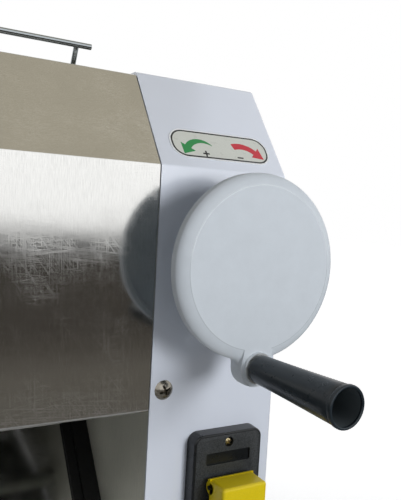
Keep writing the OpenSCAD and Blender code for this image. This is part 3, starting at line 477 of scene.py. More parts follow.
def fillet(path, radii, steps=6):
    """An open plane path with each inner corner rounded to its radius."""
    path = [np.asarray(p, float) for p in path]
    made = [path[0]]
    for before, corner, after, radius in zip(path, path[1:], path[2:], radii):
        u, v = unit(before - corner), unit(after - corner)
        half = math.acos(max(-1.0, min(1.0, float(u @ v)))) / 2
        centre = corner + unit(u + v) * radius / math.sin(half)
        reach = radius / math.tan(half)
        start, end = (math.degrees(math.atan2(*(corner + d * reach - centre)[::-1])) for d in (u, v))
        turn = (end - start + 180) % 360 - 180
        made.extend(arc(centre, radius, start, start + turn, steps))
    made.append(path[-1])
    return np.array(made)


def moved(path, distance):
    """An open plane path moved to its left, with mitred corners."""
    path = np.asarray(path, float)
    steps = np.diff(path, axis=0)
    steps /= np.linalg.norm(steps, axis=1)[:, None]
    normals = np.stack([-steps[:, 1], steps[:, 0]], 1)
    both = np.concatenate([normals[:1], normals]) + np.concatenate([normals, normals[-1:]])
    return path + both * (2 * distance / (both * both).sum(1))[:, None]


def turned(profile, centre, axis, steps):
    """Rings round an axis: profile is [radius, place along it], centre is across it."""
    ring = circle(full_turn(steps))
    return [placed(centre + radius * ring, axis, at) for radius, at in profile]


def rounded_rect(width, height, radius, steps=6):
    """Closed outline of a rounded rectangle round the origin."""
    least, flat = 0.05, 0.01
    radius = max(least, min(radius, width / 2 - flat, height / 2 - flat))
    w, h = width / 2 - radius, height / 2 - radius
    corners = ((0, w, h), (90, -w, h), (180, -w, -h), (270, w, -h))
    return np.concatenate([arc((x, y), radius, a, a + 90, steps) for a, x, y in corners])


def front_rings(width, height, radius, profile, centre, steps=6):
    """Rings of a rounded rectangle on the front: profile is [inset, y], centre is [x, z]."""
    return [
        placed(rounded_rect(width - 2 * inset, height - 2 * inset, radius - inset, steps) + centre, Y, y)
        for inset, y in profile
    ]


def rounded_edge(edge, front, start, steps, inset=0):
    """The [inset, y] profile of a front edge's rounding, from an angle on its side."""
    angles = np.radians(np.linspace(start, 90, steps))
    return [(inset + edge - edge * math.cos(a), front + edge - edge * math.sin(a)) for a in angles]


def bent(corners, radius, steps=8):
    """A path in space with its corners rounded."""
    corners = [np.asarray(c, float) for c in corners]
    made = [corners[0]]
    for before, corner, after in zip(corners, corners[1:], corners[2:]):
        u, v = unit(before - corner) * radius, unit(after - corner) * radius
        for t in np.linspace(0, 1, steps):
            made.append(corner + u * (1 - t) ** 2 + v * t**2)
    made.append(corners[-1])
    return made


def tube_along(path, radius, steps=24):
    """A round wire along a path of points, with flat ends."""
    path = np.asarray(path, float)
    tangents = [unit(tangent) for tangent in np.gradient(path, axis=0)]
    side = np.cross(tangents[0], (0, 0, 1) if abs(tangents[0][Z]) < 0.9 else (1, 0, 0))
    ring = circle(full_turn(steps))
    rings = []
    for point, tangent in zip(path, tangents):
        side = unit(side - tangent * (side @ tangent))
        rings.append(point + radius * ring @ [side, np.cross(tangent, side)])
    return loft(rings)


def cut(piece, parts):
    """Cuts solid parts out of a piece."""
    cutter = mesh_object("cutter", join_parts(parts))
    modifier = piece.modifiers.new("cut", "BOOLEAN")
    modifier.operation = "DIFFERENCE"
    modifier.solver = "EXACT"
    modifier.object = cutter
    bpy.context.view_layer.update()
    graph = bpy.context.evaluated_depsgraph_get()
    result = bpy.data.meshes.new_from_object(piece.evaluated_get(graph))
    piece.modifiers.remove(modifier)
    piece.data = result
    bpy.data.objects.remove(cutter)
    smooth(result)


# ---------- pieces ----------

RIGHT_LOW, RIGHT_HIGH = cad("right_cover")
LEFT_LOW, LEFT_HIGH = cad("left_cover")
HOOD_LOW, HOOD_HIGH = cad("front_hood")
LABEL_LOW, LABEL_HIGH = cad("thickness_label")
PLATE_LOW, PLATE_HIGH = cad("switch_plate")
GRIP_LOW, GRIP_HIGH = cad("handle_grip")
DIAL_LOW, DIAL_HIGH = cad("dial_disc")
FLAP_LOW, FLAP_HIGH = cad("switch_flap")

FRONT_Y, BACK_Y = RIGHT_LOW[Y], RIGHT_HIGH[Y]
BASE_Z, TOP_Z = RIGHT_LOW[Z], RIGHT_HIGH[Z]
SEAM_R, SEAM_L = RIGHT_LOW[X], LEFT_HIGH[X]
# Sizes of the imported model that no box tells
BEND_Z = BASE_Z + 300
SLOPE_RUN = 49.2
SLOPE = math.atan2(TOP_Z - BEND_Z, SLOPE_RUN)
BACK_R = 18
COVER_T = 1.5
SHEET_T = 1.2
SEAM_GAP = 0.6
RIM_PROUD = 0.7
DIAL_X = (DIAL_LOW[X] + DIAL_HIGH[X]) / 2
DIAL_R = (DIAL_HIGH[X] - DIAL_LOW[X]) / 2 + RIM_PROUD
DIAL_Z = DIAL_HIGH[Z] - DIAL_R + RIM_PROUD
DIAL_T = 10.5
DIAL_FACE_Y = cad("grip_ferrule")[1][Y]
LUG_R = 13
LUG_SHARE = 0.12
GRIP_Z = (GRIP_LOW[Z] + GRIP_HIGH[Z]) / 2
LABEL_UP, LABEL_TALL = 9, 23
PLATE_X = (PLATE_LOW[X] + PLATE_HIGH[X]) / 2
PLATE_FRONT = FRONT_Y - 10
PLATE_CORNER_R = 7
PLATE_SCREW_Z = (PLATE_HIGH[Z] - 7, PLATE_LOW[Z] + 6)
BLOCK_W = 29
FLAP_HINGE = (PLATE_FRONT - 6, FLAP_HIGH[Z] - 5.5)


def housing_outline(inset, bend):
    """A housing's [y, z] outline moved in by inset, with rounded front bends."""
    sine, cosine, rise = math.sin(SLOPE), math.cos(SLOPE), math.tan(SLOPE)
    down = inset * ((1 - sine) * rise - cosine)
    top_y = FRONT_Y + inset * sine + (TOP_Z - BEND_Z - inset + inset * cosine) / rise
    corners = [
        (FRONT_Y + inset, BASE_Z),
        (FRONT_Y + inset, BEND_Z + down),
        (top_y, TOP_Z - inset),
        (BACK_Y - inset, TOP_Z - inset),
        (BACK_Y - inset, BASE_Z),
    ]
    front_bend = max(0.1, bend - inset)
    return fillet(corners, [front_bend, front_bend, BACK_R - inset], 10)


def build_cover(name, node, seam, side, sizes):
    """One housing: a folded sheet with a rounded outer edge and a closed outer side."""
    edge = sizes.cover_edge
    inwards = math.copysign(1, seam - side)
    # Inner skin from the side to the seam, then the outer skin back to the side
    ends = [(side + inwards * COVER_T, edge), (side + inwards * edge, COVER_T)]
    ends += [(seam, COVER_T), (seam, 0)]
    for a in np.radians(np.linspace(0, 90, 6)):
        ends.append((side + inwards * (edge - edge * math.sin(a)), edge - edge * math.cos(a)))
    rings = [placed(housing_outline(inset, sizes.cover_bend), X, x) for x, inset in ends]
    points, faces = loft(rings, closed=False)
    # The open bottom shows the sheet's edge: along front and back, and under the side
    count, last = len(rings[0]), len(points) - len(rings[0])
    faces += [tuple(range(i, len(points), count)) for i in (0, count - 1)]
    faces.append((0, count - 1, last + count - 1, last))
    mesh_piece(name, (points, faces), "white_enamel", node=node, sharp=25)


def build_hood(sizes):
    """Front stainless sheet: folded lower lip, bend, sloping top and folded top edge."""
    lip, fold, fold_down = 9, 4.5, 14
    top_z = HOOD_HIGH[Z]
    top_y = FRONT_Y + SLOPE_RUN - (TOP_Z - top_z) / math.tan(SLOPE)
    corners = [
        (FRONT_Y + lip, HOOD_LOW[Z]),
        (FRONT_Y, HOOD_LOW[Z]),
        (FRONT_Y, BEND_Z),
        (top_y, top_z),
        (top_y + fold, top_z),
        (top_y + fold, top_z - fold_down),
    ]
    outer = fillet(corners, [sizes.hood_bend] * 4)
    inner = fillet(moved(corners, -SHEET_T), [sizes.hood_bend - SHEET_T] * 4)
    outline = np.concatenate([outer, inner[::-1]])
    ends = (HOOD_LOW[X] + SEAM_GAP, HOOD_HIGH[X] - SEAM_GAP)
    shape = loft([placed(outline, X, x) for x in ends])
    mesh_piece("front_hood_sheet", shape, "stainless", node="front_hood")


def dial_outline(inset, blend, angles):
    """Radius of the disc with its lug at each angle, moved in by inset.

    Radii are tried from outside in until one lies inside the blended shape.
    """
    tried = np.arange(92, 20, -0.05)
    grid = circle(angles)[:, None, :] * tried[None, :, None]
    disc = np.linalg.norm(grid, axis=2) - DIAL_R + inset
    lug = np.linalg.norm(grid - np.array([0, GRIP_Z - DIAL_Z]), axis=2) - LUG_R + inset * LUG_SHARE
    near = np.maximum(blend - np.abs(disc - lug), 0) / blend
    field = np.minimum(disc, lug) - near * near * blend / 4
    return tried[np.argmax(field <= 0, axis=1)]


def build_dial(sizes):
    """Dial: a flat face with a crisp edge, a rounded rim, a lug and a hollow back."""
    near_lug = np.radians(np.linspace(-122, -58, 300)) % (2 * math.pi)
    angles = np.unique(np.round(np.concatenate([full_turn(180), near_lug]), 5))
    back = DIAL_FACE_Y + DIAL_T
    wide, deep, step, start = sizes.rim_width, sizes.rim_depth, 0.16, math.radians(36)
    profile = [(wide + 2, DIAL_FACE_Y), (wide + 0.5, DIAL_FACE_Y)]
    for a in np.linspace(start, math.radians(90), 10):
        fall = (math.cos(start) - math.cos(a)) / math.cos(start)
        run = (1 - math.sin(a)) / (1 - math.sin(start))
        profile.append((wide * run, DIAL_FACE_Y + step + (deep - step) * fall))
    profile += [(0, back - 0.7), (0.2, back - 0.2), (0.7, back)]
    rings = [(dial_outline(inset, sizes.lug_blend, angles), y) for inset, y in profile]

    hub_r, bore_r, rim_wall, soft = 18, 8, 4, 0.6
    wall_r, floor_y, hub_y = DIAL_R - rim_wall, DIAL_FACE_Y + 5, DIAL_HIGH[Y]
    hollow = [(wall_r, back), (wall_r - soft, back - soft)]
    hollow += [(wall_r - 2, floor_y + 0.2), (wall_r - 3, floor_y)]
    hollow += [(hub_r + 2, floor_y), (hub_r, floor_y + 2)]
    hollow += [(hub_r, hub_y - soft), (hub_r - soft, hub_y), (bore_r, hub_y)]
    rings += [(np.full(len(angles), radius), y) for radius, y in hollow]
    spokes = circle(angles)
    shape = loft([placed((DIAL_X, DIAL_Z) + r[:, None] * spokes, Y, y) for r, y in rings])
    dial = mesh_piece("dial", shape, "dial_enamel", "dial", "dial_disc", sharp=12)
    for finish in ("enamel_edge", "painted_shade_back"):
        dial.data.materials.append(FINISH[finish])
    # Index 1 is the crisp edge's glossy ring; index 2 is painted shade on the back and the hollow behind
    # the rim
    for face in dial.data.polygons:
        x, y, z = face.center / MM
        inside = math.hypot(x - DIAL_X, z - DIAL_Z) < wall_r + 0.1
        if DIAL_FACE_Y + 0.01 < y < DIAL_FACE_Y + step:
            face.material_index = 1
        elif y > back - 0.05 or (y > floor_y - 0.5 and inside):
            face.material_index = 2


def build_grip(sizes):
    """Revolving grip: slim at the dial, wider towards a beaded, hollow open end."""
    long = GRIP_HIGH[Y] - GRIP_LOW[Y]
    bore_r, foot_r, tip_r = 4.2, 9.0, (GRIP_HIGH[X] - GRIP_LOW[X]) / 2
    bead, floor, half = long - 3.2, 28, sizes.grip_wall / 2

    def radius(share):
        return foot_r + (tip_r - 0.5 - foot_r) * min(1, share / 0.95) ** 1.25

    profile = [(bore_r, 0), (foot_r - 1.2, 0), (foot_r - 0.4, 0.3), (foot_r - 0.05, 1.1)]
    profile += [(radius(s), long * s) for s in np.linspace(0.03, (bead - 0.4) / long, 14)]
    profile += [(tip_r - 0.7, bead), (tip_r - 0.2, bead + 0.35), (tip_r, bead + 1)]
    for a in np.radians(np.linspace(0, 165, 12)):
        profile.append((tip_r - half + half * math.cos(a), long - half + half * math.sin(a)))
    mouth = tip_r - sizes.grip_wall
    profile += [(mouth, long - 1.6), (mouth - 0.25, long - 6), (mouth - 1.2, long - 30)]
    profile += [(mouth - 1.9, floor + 3), (mouth - 2.6, floor + 0.8), (6.6, floor), (bore_r, floor)]
    rings = turned([(r, GRIP_HIGH[Y] - s) for r, s in profile], (DIAL_X, GRIP_Z), Y, 96)
    grip = mesh_piece(
        "revolving_grip", loop_skin(rings), "black_bakelite", "grip", "handle_grip", sharp=50
    )
    grip.data.materials.append(FINISH["painted_light_bore"])
    # Painted light: the faces inside the open end wear the lighter bore grey
    for face in grip.data.polygons:
        out = Vector((face.center.x - DIAL_X * MM, 0, face.center.z - GRIP_Z * MM))
        if out.length < mouth * MM and face.normal.dot(out) < 1e-6 and face.normal.y < 0.5:
            face.material_index = 1


def on_slope(points):
    """Points [x, up the slope, out of the slope] placed on the right housing's slope."""
    x, up, out = points.T
    c, s = math.cos(SLOPE), math.sin(SLOPE)
    return np.column_stack([x, FRONT_Y + up * c - out * s, BEND_Z + up * s + out * c])


def slope_part(outline, low, high):
    """A thin part on the slope from a closed [x, up] outline."""
    return loft([on_slope(placed(outline, Z, out)) for out in (low, high)])


def curved_arrow(centre, radius, start, end, tail, shaft, head, head_len):
    """Outline of an arrow along an arc; its shaft grows from tail to shaft wide."""
    sign, steps = math.copysign(1, end - start), 20
    neck = end - math.degrees(head_len / radius) * sign
    spokes = circle(np.radians(np.linspace(start, neck, steps)))
    widths = tail + (shaft - tail) * np.sin(np.linspace(0, math.pi / 2, steps))
    outer = centre + spokes * (radius + widths / 2)[:, None]
    inner = centre + spokes * (radius - widths / 2)[:, None]
    spoke = spokes[-1]
    along = np.array([-spoke[1], spoke[0]]) * sign
    tip = centre + spoke * radius + along * head_len
    wings = [centre + spoke * (radius + head / 2), centre + spoke * (radius - head / 2)]
    return np.concatenate([outer, [wings[0], tip, wings[1]], inner[::-1]])


def build_label():
    """Thickness label: white film, black outline, two curved arrows, plus and minus."""
    centre = np.array([(LABEL_LOW[X] + LABEL_HIGH[X]) / 2, LABEL_UP + LABEL_TALL / 2])
    wide, tall, corner = LABEL_HIGH[X] - LABEL_LOW[X] + 0.6, LABEL_TALL + 2, 11.4
    margin, line = 1.1, 1.15
    film, ground, raised, ink = (0, 0.45), (0.3, 0.5), (0.3, 0.54), (0.4, 0.56)
    sheets = [
        rounded_rect(wide - 2 * inset, tall - 2 * inset, corner - inset, 14) + centre
        for inset in (0, margin, margin + line)
    ]
    mesh_piece("label_film", slope_part(sheets[0], *film), "label_edge", node="thickness_label")
    mesh_piece("label_ground", slope_part(sheets[2], *ground), "label_film")
    section = ((1, 0), (1, 1), (2, 1), (2, 0))  # which sheet's outline, and low or high
    rings = [on_slope(placed(sheets[i], Z, raised[level])) for i, level in section]
    mesh_piece("label_outline", loop_skin(rings), "label_ink")
    thicker = curved_arrow(centre + (-16, -10), 13, 49, 181, tail=0.4, shaft=4.8, head=12, head_len=7.9)
    thinner = curved_arrow(centre + (16, -15), 17.3, 111, 21, tail=5.3, shaft=4.8, head=11.8, head_len=8.2)
    mesh_piece("label_arrow_thicker", slope_part(thicker, *ink), "label_green")
    mesh_piece("label_arrow_thinner", slope_part(thinner, *ink), "label_red")
    bar = rounded_rect(5, 1.2, 0.2, 2)
    plus, minus = centre + (-14, -7.6), centre + (13.5, -8.2)
    marks = [slope_part(mark, *ink) for mark in (bar + plus, bar[:, ::-1] + plus, bar + minus)]
    mesh_piece("label_marks", join_parts(marks), "label_ink")


def screw_head(radius, steps=72):
    """A domed cross-head as [x, out, z] rings round the origin."""
    high, arm, slot_wide = radius / 2, radius * 0.62, radius * 0.115
    ball = (radius**2 + high**2) / (2 * high)
    ring = circle(full_turn(steps))
    rings = [placed(radius * ring, Y, 0)]
    for share in (*np.linspace(1.0, 0.55, 8), *np.linspace(0.5, 0.02, 22)):
        r = radius * share
        dome = np.sqrt(ball**2 - r**2) - (ball - high)
        across, along = np.sort(np.abs(r * ring), axis=1).T
        slot = np.clip((slot_wide * (1.15 - 0.35 * along / arm) - across) / (slot_wide * 0.5), 0, 1)
        fade = np.clip((arm - along) / (arm * 0.35), 0, 1)
        rings.append(placed(r * ring, Y, np.maximum(dome - high * 0.95 * slot * fade, 0.15)))
    return rings


def screws(name, node, slot, places, radius):
    """Cross-head screws on Y: places are [x, y, z, -1 for the front or 1 for the back]."""
    parts = []
    for index, (x, y, z, way) in enumerate(places):
        turn = math.radians(20) + index * 0.7
        c, s = math.cos(turn), math.sin(turn)
        parts.append(loft([
            np.column_stack([x + px * c - pz * s, y + way * out, z + px * s + pz * c])
            for px, out, pz in (ring.T for ring in screw_head(radius))
        ]))
    mesh_piece(name, join_parts(parts), slot, node=node, sharp=28)


def build_screws():
    """The screws of both housings, front and back, and the two in the switch plate."""
    in_x, foot_z, front_z, back_z = 9.6, BASE_Z + 14, BEND_Z - 147.6, BEND_Z - 20
    cover_r, plate_r, plate_sunk = 6.6, 3, 2.1
    places = []
    for x in (SEAM_R + in_x, SEAM_L - in_x):
        places += [(x, FRONT_Y, z, -1) for z in (front_z, foot_z)]
        places += [(x, BACK_Y, z, 1) for z in (back_z, foot_z)]
    screws("cover_screw_heads", "cover_screws", "zinc_screws", places, cover_r)
    wells = [(PLATE_X, PLATE_FRONT + plate_sunk, z, -1) for z in PLATE_SCREW_Z]
    screws("switch_screw_heads", "switch_screws", "brass_screws", wells, plate_r)


def build_switch(sizes):
    """Switch plate with a rounded edge and a pebbled face, its block and its hinge."""
    front, edge, corner, draft = PLATE_FRONT, sizes.plate_edge, PLATE_CORNER_R, 0.3
    wide, _, tall = PLATE_HIGH - PLATE_LOW
    centre = (PLATE_X, (PLATE_LOW[Z] + PLATE_HIGH[Z]) / 2)
    profile = [(0, FRONT_Y), (draft, front + edge), *rounded_edge(edge, front, 12, 7, draft)]
    shape = loft(front_rings(wide, tall, corner, profile, centre, 10))
    plate = mesh_piece("switch_plate_moulding", shape, "black_plastic", node="switch_plate")
    inset = edge + 0.6
    profile = [(inset, front + 0.3), (inset, front - 0.1), (inset + 0.2, front - 0.2)]
    shape = loft(front_rings(wide, tall, corner, profile, centre, 8))
    field = mesh_piece("switch_plate_face", shape, "pebbled_plastic")

    window_w, window_h, window_z = 35, 8, PLATE_HIGH[Z] - 17.5
    sunk = [(0, front + 0.9), (-0.3, front - 1)]
    window = loft(front_rings(window_w, window_h, 1, sunk, (PLATE_X, window_z)))
    well = [(3.3, front + 3), (3.45, front - 1)]
    wells = [loft(turned(well, (PLATE_X, z), Y, 32)) for z in PLATE_SCREW_Z]
    pocket_w, pocket_h, through = 20, 18, [(0, FRONT_Y + 1), (0, front - 12)]
    pockets = []
    for node in ("start_button", "stop_button"):
        z = sum(end[Z] for end in cad(node)) / 2
        pockets.append(loft(front_rings(pocket_w, pocket_h, 1, through, (PLATE_X, z))))
    for piece in (plate, field):
        cut(piece, [window, *wells, *pockets])

    low, high = FLAP_LOW[Z] + 4, FLAP_HIGH[Z] - 8.5
    profile = [(0, front + 2), (0, front - 7.4), (0.25, front - 7.85), (0.7, front - 8)]
    shape = loft(front_rings(BLOCK_W, high - low, 1.5, profile, (PLATE_X, (low + high) / 2)))
    cut(mesh_piece("switch_button_block", shape, "black_plastic"), pockets)
    barrel_r, pin_r, pin_half = 3.2, 1.5, (FLAP_HIGH[X] - FLAP_LOW[X]) / 2 + 1
    rods = []
    for radius, half in ((barrel_r, BLOCK_W / 2), (pin_r, pin_half)):
        ends = [(radius, PLATE_X - half), (radius, PLATE_X + half)]
        rods.append(loft(turned(ends, FLAP_HINGE, X, 48)))
    mesh_piece("flap_hinge_barrel", join_parts(rods), "black_plastic")


def build_flap(sizes):
    """Emergency flap: a rounded hollow lid with hinge knuckles and a domed mushroom."""
    cx, front, back = (FLAP_LOW[X] + FLAP_HIGH[X]) / 2, FLAP_LOW[Y], FLAP_HINGE[0]
    centre = (cx, (FLAP_LOW[Z] + FLAP_HIGH[Z]) / 2)
    width, height, wall = 35.0, 61.0, 2.0
    profile = [(wall + 0.4, front + wall), (wall, front + wall + 0.4), (wall, back), (0, back)]
    profile += [(0, front + sizes.flap_edge), *rounded_edge(sizes.flap_edge, front, 15, 6)]
    shape = loft(front_rings(width, height, 2.5, profile, centre))
    lid = mesh_piece("emergency_flap", shape, "yellow_plastic", "flap", "switch_flap", sharp=40)
    stop_z, stem_r, stem_hole_r = FLAP_HIGH[Z] - 44, 4, 4.1
    cut(lid, [loft(turned([(stem_hole_r, front - 2), (stem_hole_r, front + 4)], (cx, stop_z), Y, 32))])

    knuckle_r, bore_r, lip_r, lip_inner_r = 4.5, 1.6, 5.7, 4.3
    knuckles = []
    for x in (FLAP_LOW[X], FLAP_HIGH[X] - wall):
        ring = [(bore_r, x), (knuckle_r, x), (knuckle_r, x + wall), (bore_r, x + wall)]
        knuckles.append(loop_skin(turned(ring, FLAP_HINGE, X, 48)))
    mesh_piece("flap_knuckles", join_parts(knuckles), "yellow_plastic", "flap")
    lip = [arc(FLAP_HINGE, lip_r, 58, 92, 6), arc(FLAP_HINGE, lip_inner_r, 92, 58, 6)]
    shape = loft([placed(np.concatenate(lip), X, x) for x in (cx - width / 2, cx + width / 2)])
    mesh_piece("flap_lip", shape, "yellow_plastic", "flap")

    base, head_r, dome = front - 5, 15, 7.4
    profile = [(stem_r, FRONT_Y - 12.7), (stem_r, base), (head_r - 1.8, base)]
    profile += [(head_r - 0.6, base - 0.2), (head_r, base - 0.9)]
    for a in np.radians(np.linspace(0, 84, 14)):
        profile.append((head_r * math.cos(a), base - 1.6 - dome * math.sin(a)))
    profile.append((0.05, base - 1.6 - dome))
    shape = loft(turned(profile, (cx, stop_z), Y, 64))
    mesh_piece("stop_mushroom_head", shape, "red_plastic", "mushroom", "stop_mushroom", sharp=45)


def build_buttons():
    """Start and stop buttons with a slightly crowned face."""
    width, height, corner = 19, 17, 1.4
    for name, node, slot in (
        ("start_push_button", "start_button", "green_plastic"),
        ("stop_push_button", "stop_button", "red_plastic"),
    ):
        (low_x, front, low_z), (high_x, back, high_z) = cad(node)
        profile = [(0.3, back), (0, back - 0.3), (0, front + 1.0), (0.3, front + 0.5)]
        profile += [(0.9, front + 0.25), (2.5, front + 0.08), (5, front)]
        centre = ((low_x + high_x) / 2, (low_z + high_z) / 2)
        shape = loft(front_rings(width, height, corner, profile, centre))
        mesh_piece(name, shape, slot, node, node, sharp=50)


def build_guard():
    """Wire guard: lifting rod, two bent legs, cross wires and the rear pivot rod."""
    rod_r, leg_wire_r, bend_r = 2, 1.8, 3.5
    seam_to_leg, past_leg, seam_to_pivot = 39.9, 10.2, 12
    leg_r, leg_l = SEAM_R - seam_to_leg, SEAM_L + seam_to_leg
    rod_y, rod_z, pivot_y = FRONT_Y + 60, BEND_Z + 80.1, FRONT_Y + 165
    low_z = HOOD_HIGH[Z] - 6.1
    foot_y = rod_y + (rod_z - low_z) * 0.537
    wires, wire_z = 4, low_z - 3.4
    pitch = (pivot_y - foot_y) / wires
    rods = [(leg_l - past_leg, leg_r + past_leg, rod_y, rod_z)]
    rods.append((SEAM_L + seam_to_pivot, SEAM_R - seam_to_pivot, pivot_y, low_z))
    for i in range(wires):
        rods.append((leg_l - past_leg, leg_r + past_leg, foot_y + (i + 0.25) * pitch, wire_z))
    parts = [tube_along([(x0, y, z), (x1, y, z)], rod_r) for x0, x1, y, z in rods]
    for x in (leg_l, leg_r):
        path = bent([(x, rod_y, rod_z), (x, foot_y, low_z), (x, pivot_y, low_z)], bend_r)
        parts.append(tube_along(path, leg_wire_r))
    mesh_piece("wire_guard", join_parts(parts), "guard_chrome", "feed_guard", "feed_guard", sharp=60)


def finish_nodes():
    """Gives every CAD node the finish of its material slot, or one of its own."""
    for name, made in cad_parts.items():
        slot = made.data.materials[0].name.split(".")[0]
        made.data.materials.clear()
        made.data.materials.append(FINISH[NODE_FINISH.get(name, slot)])


# ---------- stage ----------

CAMERA_PLACE = (-0.05881, -0.43399, 0.28686)
CAMERA_YAW, CAMERA_PITCH, CAMERA_ROLL = 0.5236034, -0.0671612, 0.0558361
FOCAL_PIXELS, FRAME_PIXELS, SENSOR_MM = 602.848, 500, 36
FLOOR_HALF = 5.0


def stage_sheet(name, corners, finish):
    """A flat sheet of the stage between four corners, in metres."""
    mesh = bpy.data.meshes.new(name)
    mesh.from_pydata(corners, [], [(0, 1, 2, 3)])
    mesh.materials.append(finish)
    sheet = new_object(name, mesh)
    return sheet


def stage_card(name, low, high, tone, level=1.0):
    """A flat glowing card that only reflections see, from two corners."""
    flat = next(i for i in range(3) if low[i] == high[i])
    a, b = [i for i in range(3) if i != flat]
    corners = []
    for end_a, end_b in ((low, low), (high, low), (high, high), (low, high)):
        corner = list(low)
        corner[a], corner[b] = end_a[a], end_b[b]
        corners.append(corner)
    made = bpy.data.materials.new(name)
    tree = empty_tree(made)
    glow = add(tree, "Emission", {"Color": (*linear(tone), 1), "Strength": level})
    add(tree, "OutputMaterial", {"Surface": glow})
    card = stage_sheet(name, corners, made)
    for kind in ("camera", "diffuse", "transmission", "volume_scatter", "shadow"):
        setattr(card, "visible_" + kind, False)
    return card


def build_floor():
    """Pale floor: white to the camera, and it keeps the object's shadow."""
    made = bpy.data.materials.new("pale_floor")
    tree = empty_tree(made)
    paint = add(tree, "BsdfDiffuse", {"Color": (*linear("D8D8D8"), 1)})
    soft = add(tree, "BsdfDiffuse", {"Color": (0.9, 0.9, 0.9, 1)})
    # Painted light for the camera: a glow over the lit floor that whitens it far off and is weaker near
    # the object, a painted darkening round it where its shadow shows
    spot = add(tree, "NewGeometry").outputs["Position"]
    away = add(tree, "VectorMath", {0: spot}, operation="LENGTH")
    fade = {"From Min": 0.4, "From Max": 1.5, "To Min": 0.6, "To Max": 0.84}
    level = add(tree, "MapRange", {"Value": away, **fade})
    glow = add(tree, "Emission", {"Color": (1, 1, 1, 1), "Strength": level})
    shown = add(tree, "AddShader", {0: soft, 1: glow})
    seen = add(tree, "LightPath").outputs["Is Camera Ray"]
    mix = add(tree, "MixShader", {0: seen, 1: paint, 2: shown})
    add(tree, "OutputMaterial", {"Surface": mix})
    half = FLOOR_HALF
    corners = [(-half, -half, 0), (half, -half, 0), (half, half, 0), (-half, half, 0)]
    stage_sheet("floor", corners, made)


def build_world():
    """White to the camera and to reflections, plain soft light for the object."""
    world = bpy.data.worlds.new("studio")
    bpy.context.scene.world = world
    tree = empty_tree(world)
    ray = add(tree, "LightPath")
    seen = 0.0
    for kind in ("Is Camera Ray", "Is Glossy Ray", "Is Transmission Ray"):
        seen = add(tree, "Math", {0: ray.outputs[kind], 1: seen}, operation="MAXIMUM")
    level = add(tree, "MapRange", {"Value": seen, "To Min": 0.19, "To Max": 1.0})
    back = add(tree, "Background", {"Color": (1, 1, 1, 1), "Strength": level})
    add(tree, "OutputWorld", {"Surface": back})


def area_lamp(name, place, target, side, power):
    """A square lamp that looks at target and that reflections don't see."""
    lamp = bpy.data.lights.new(name, "AREA")
    lamp.size = side
    lamp.energy = power
    holder = new_object(name, lamp)
    holder.location = place
    holder.rotation_euler = (Vector(target) - Vector(place)).to_track_quat("-Z", "Y").to_euler()
    holder.visible_camera = holder.visible_glossy = False


def build_camera():
    """Camera in front and to the left, turned towards the right housing."""
    yaw, pitch, roll = CAMERA_YAW, CAMERA_PITCH, CAMERA_ROLL
    ahead, aside = Vector((math.sin(yaw), math.cos(yaw), 0)), Vector((math.cos(yaw), -math.sin(yaw), 0))
    forward = ahead * math.cos(pitch) + Vector((0, 0, math.sin(pitch)))
    upright = aside.cross(forward)
    right = math.cos(roll) * aside + math.sin(roll) * upright
    up = -math.sin(roll) * aside + math.cos(roll) * upright
    data = bpy.data.cameras.new("camera")
    data.sensor_width = SENSOR_MM
    data.lens = FOCAL_PIXELS / FRAME_PIXELS * SENSOR_MM
    data.clip_start, data.clip_end = 0.02, 50
    camera = new_object("camera", data)
    turn = Matrix((right, up, -forward)).transposed().to_4x4()
    camera.matrix_world = Matrix.Translation(CAMERA_PLACE) @ turn
    bpy.context.scene.camera = camera


def build_stage():
    """Floor, world, lamps, cards and camera."""
    build_camera()
    build_floor()
    build_world()
    area_lamp("key", (0.75, -2.0, 0.62), (0.1, 0, 0.25), 0.7, 25.5)
    area_lamp("back_fill", (-1.2, 1.9, 1.1), (0, 0, 0.2), 1.2, 20)
    softbox = stage_card("front_softbox", (-1.5, -2.6, 0.19), (4.0, -2.6, 3.0), "FFFFFF", 1.4)
    softbox.rotation_euler.y = math.radians(1.5)
    softbox.location.z = 0.025
    # Dark cards that only reflections see, painted dark reflections in the stainless front and under the
    # grip: a row in front that darkens away from the object, and one beside it
    low_z, ends = 0.004, (-0.34, -0.55, -0.62, -0.72, -2.6)
    for near, far, tone in zip(ends, ends[1:], ("66625B", "5D5953", "524E48", "48443F")):
        stage_card("foreground", (-2.0, far, low_z), (3.5, near, low_z), tone)
    stage_card("dark_side", (0.24, -0.33, low_z), (3.5, 0.16, low_z), "3C3A38")
    # A warm card that only reflections see: a painted reflection of a ceiling over the sloping stainless
    # top
    stage_card("painted_ceiling_reflection", (-1.2, -1.2, 2.4), (1.4, 0.9, 2.4), "BFB8A6")
    bpy.context.scene.view_settings.view_transform = "Standard"


# ---------- operators ----------


class SheeterOperator:
    """Shared reach to the sidebar's values"""

    bl_options = {"REGISTER", "UNDO"}

    @property
    def sizes(self):
        return in_mm(bpy.context.scene.sheeter_sizes)


class SHEETER_OT_finishes(SheeterOperator, bpy.types.Operator):
    """Makes all finishes and gives them to the carried-over CAD nodes"""

    bl_idname = "sheeter.finishes"
    bl_label = "Finishes"

    def execute(self, context):
        FINISH.update(make_finishes(context.scene.sheeter_colours))
        finish_nodes()
        return {"FINISHED"}


class SHEETER_OT_covers(SheeterOperator, bpy.types.Operator):
    """Builds the two painted housings"""

    bl_idname = "sheeter.covers"
    bl_label = "Covers"

    def execute(self, context):
        build_cover("right_housing", "right_cover", SEAM_R, RIGHT_HIGH[X], self.sizes)
        build_cover("left_housing", "left_cover", SEAM_L, LEFT_LOW[X], self.sizes)
        return {"FINISHED"}


class SHEETER_OT_hood(SheeterOperator, bpy.types.Operator):
    """Builds the stainless front sheet"""

    bl_idname = "sheeter.hood"
    bl_label = "Front hood"

    def execute(self, context):
        build_hood(self.sizes)
        return {"FINISHED"}


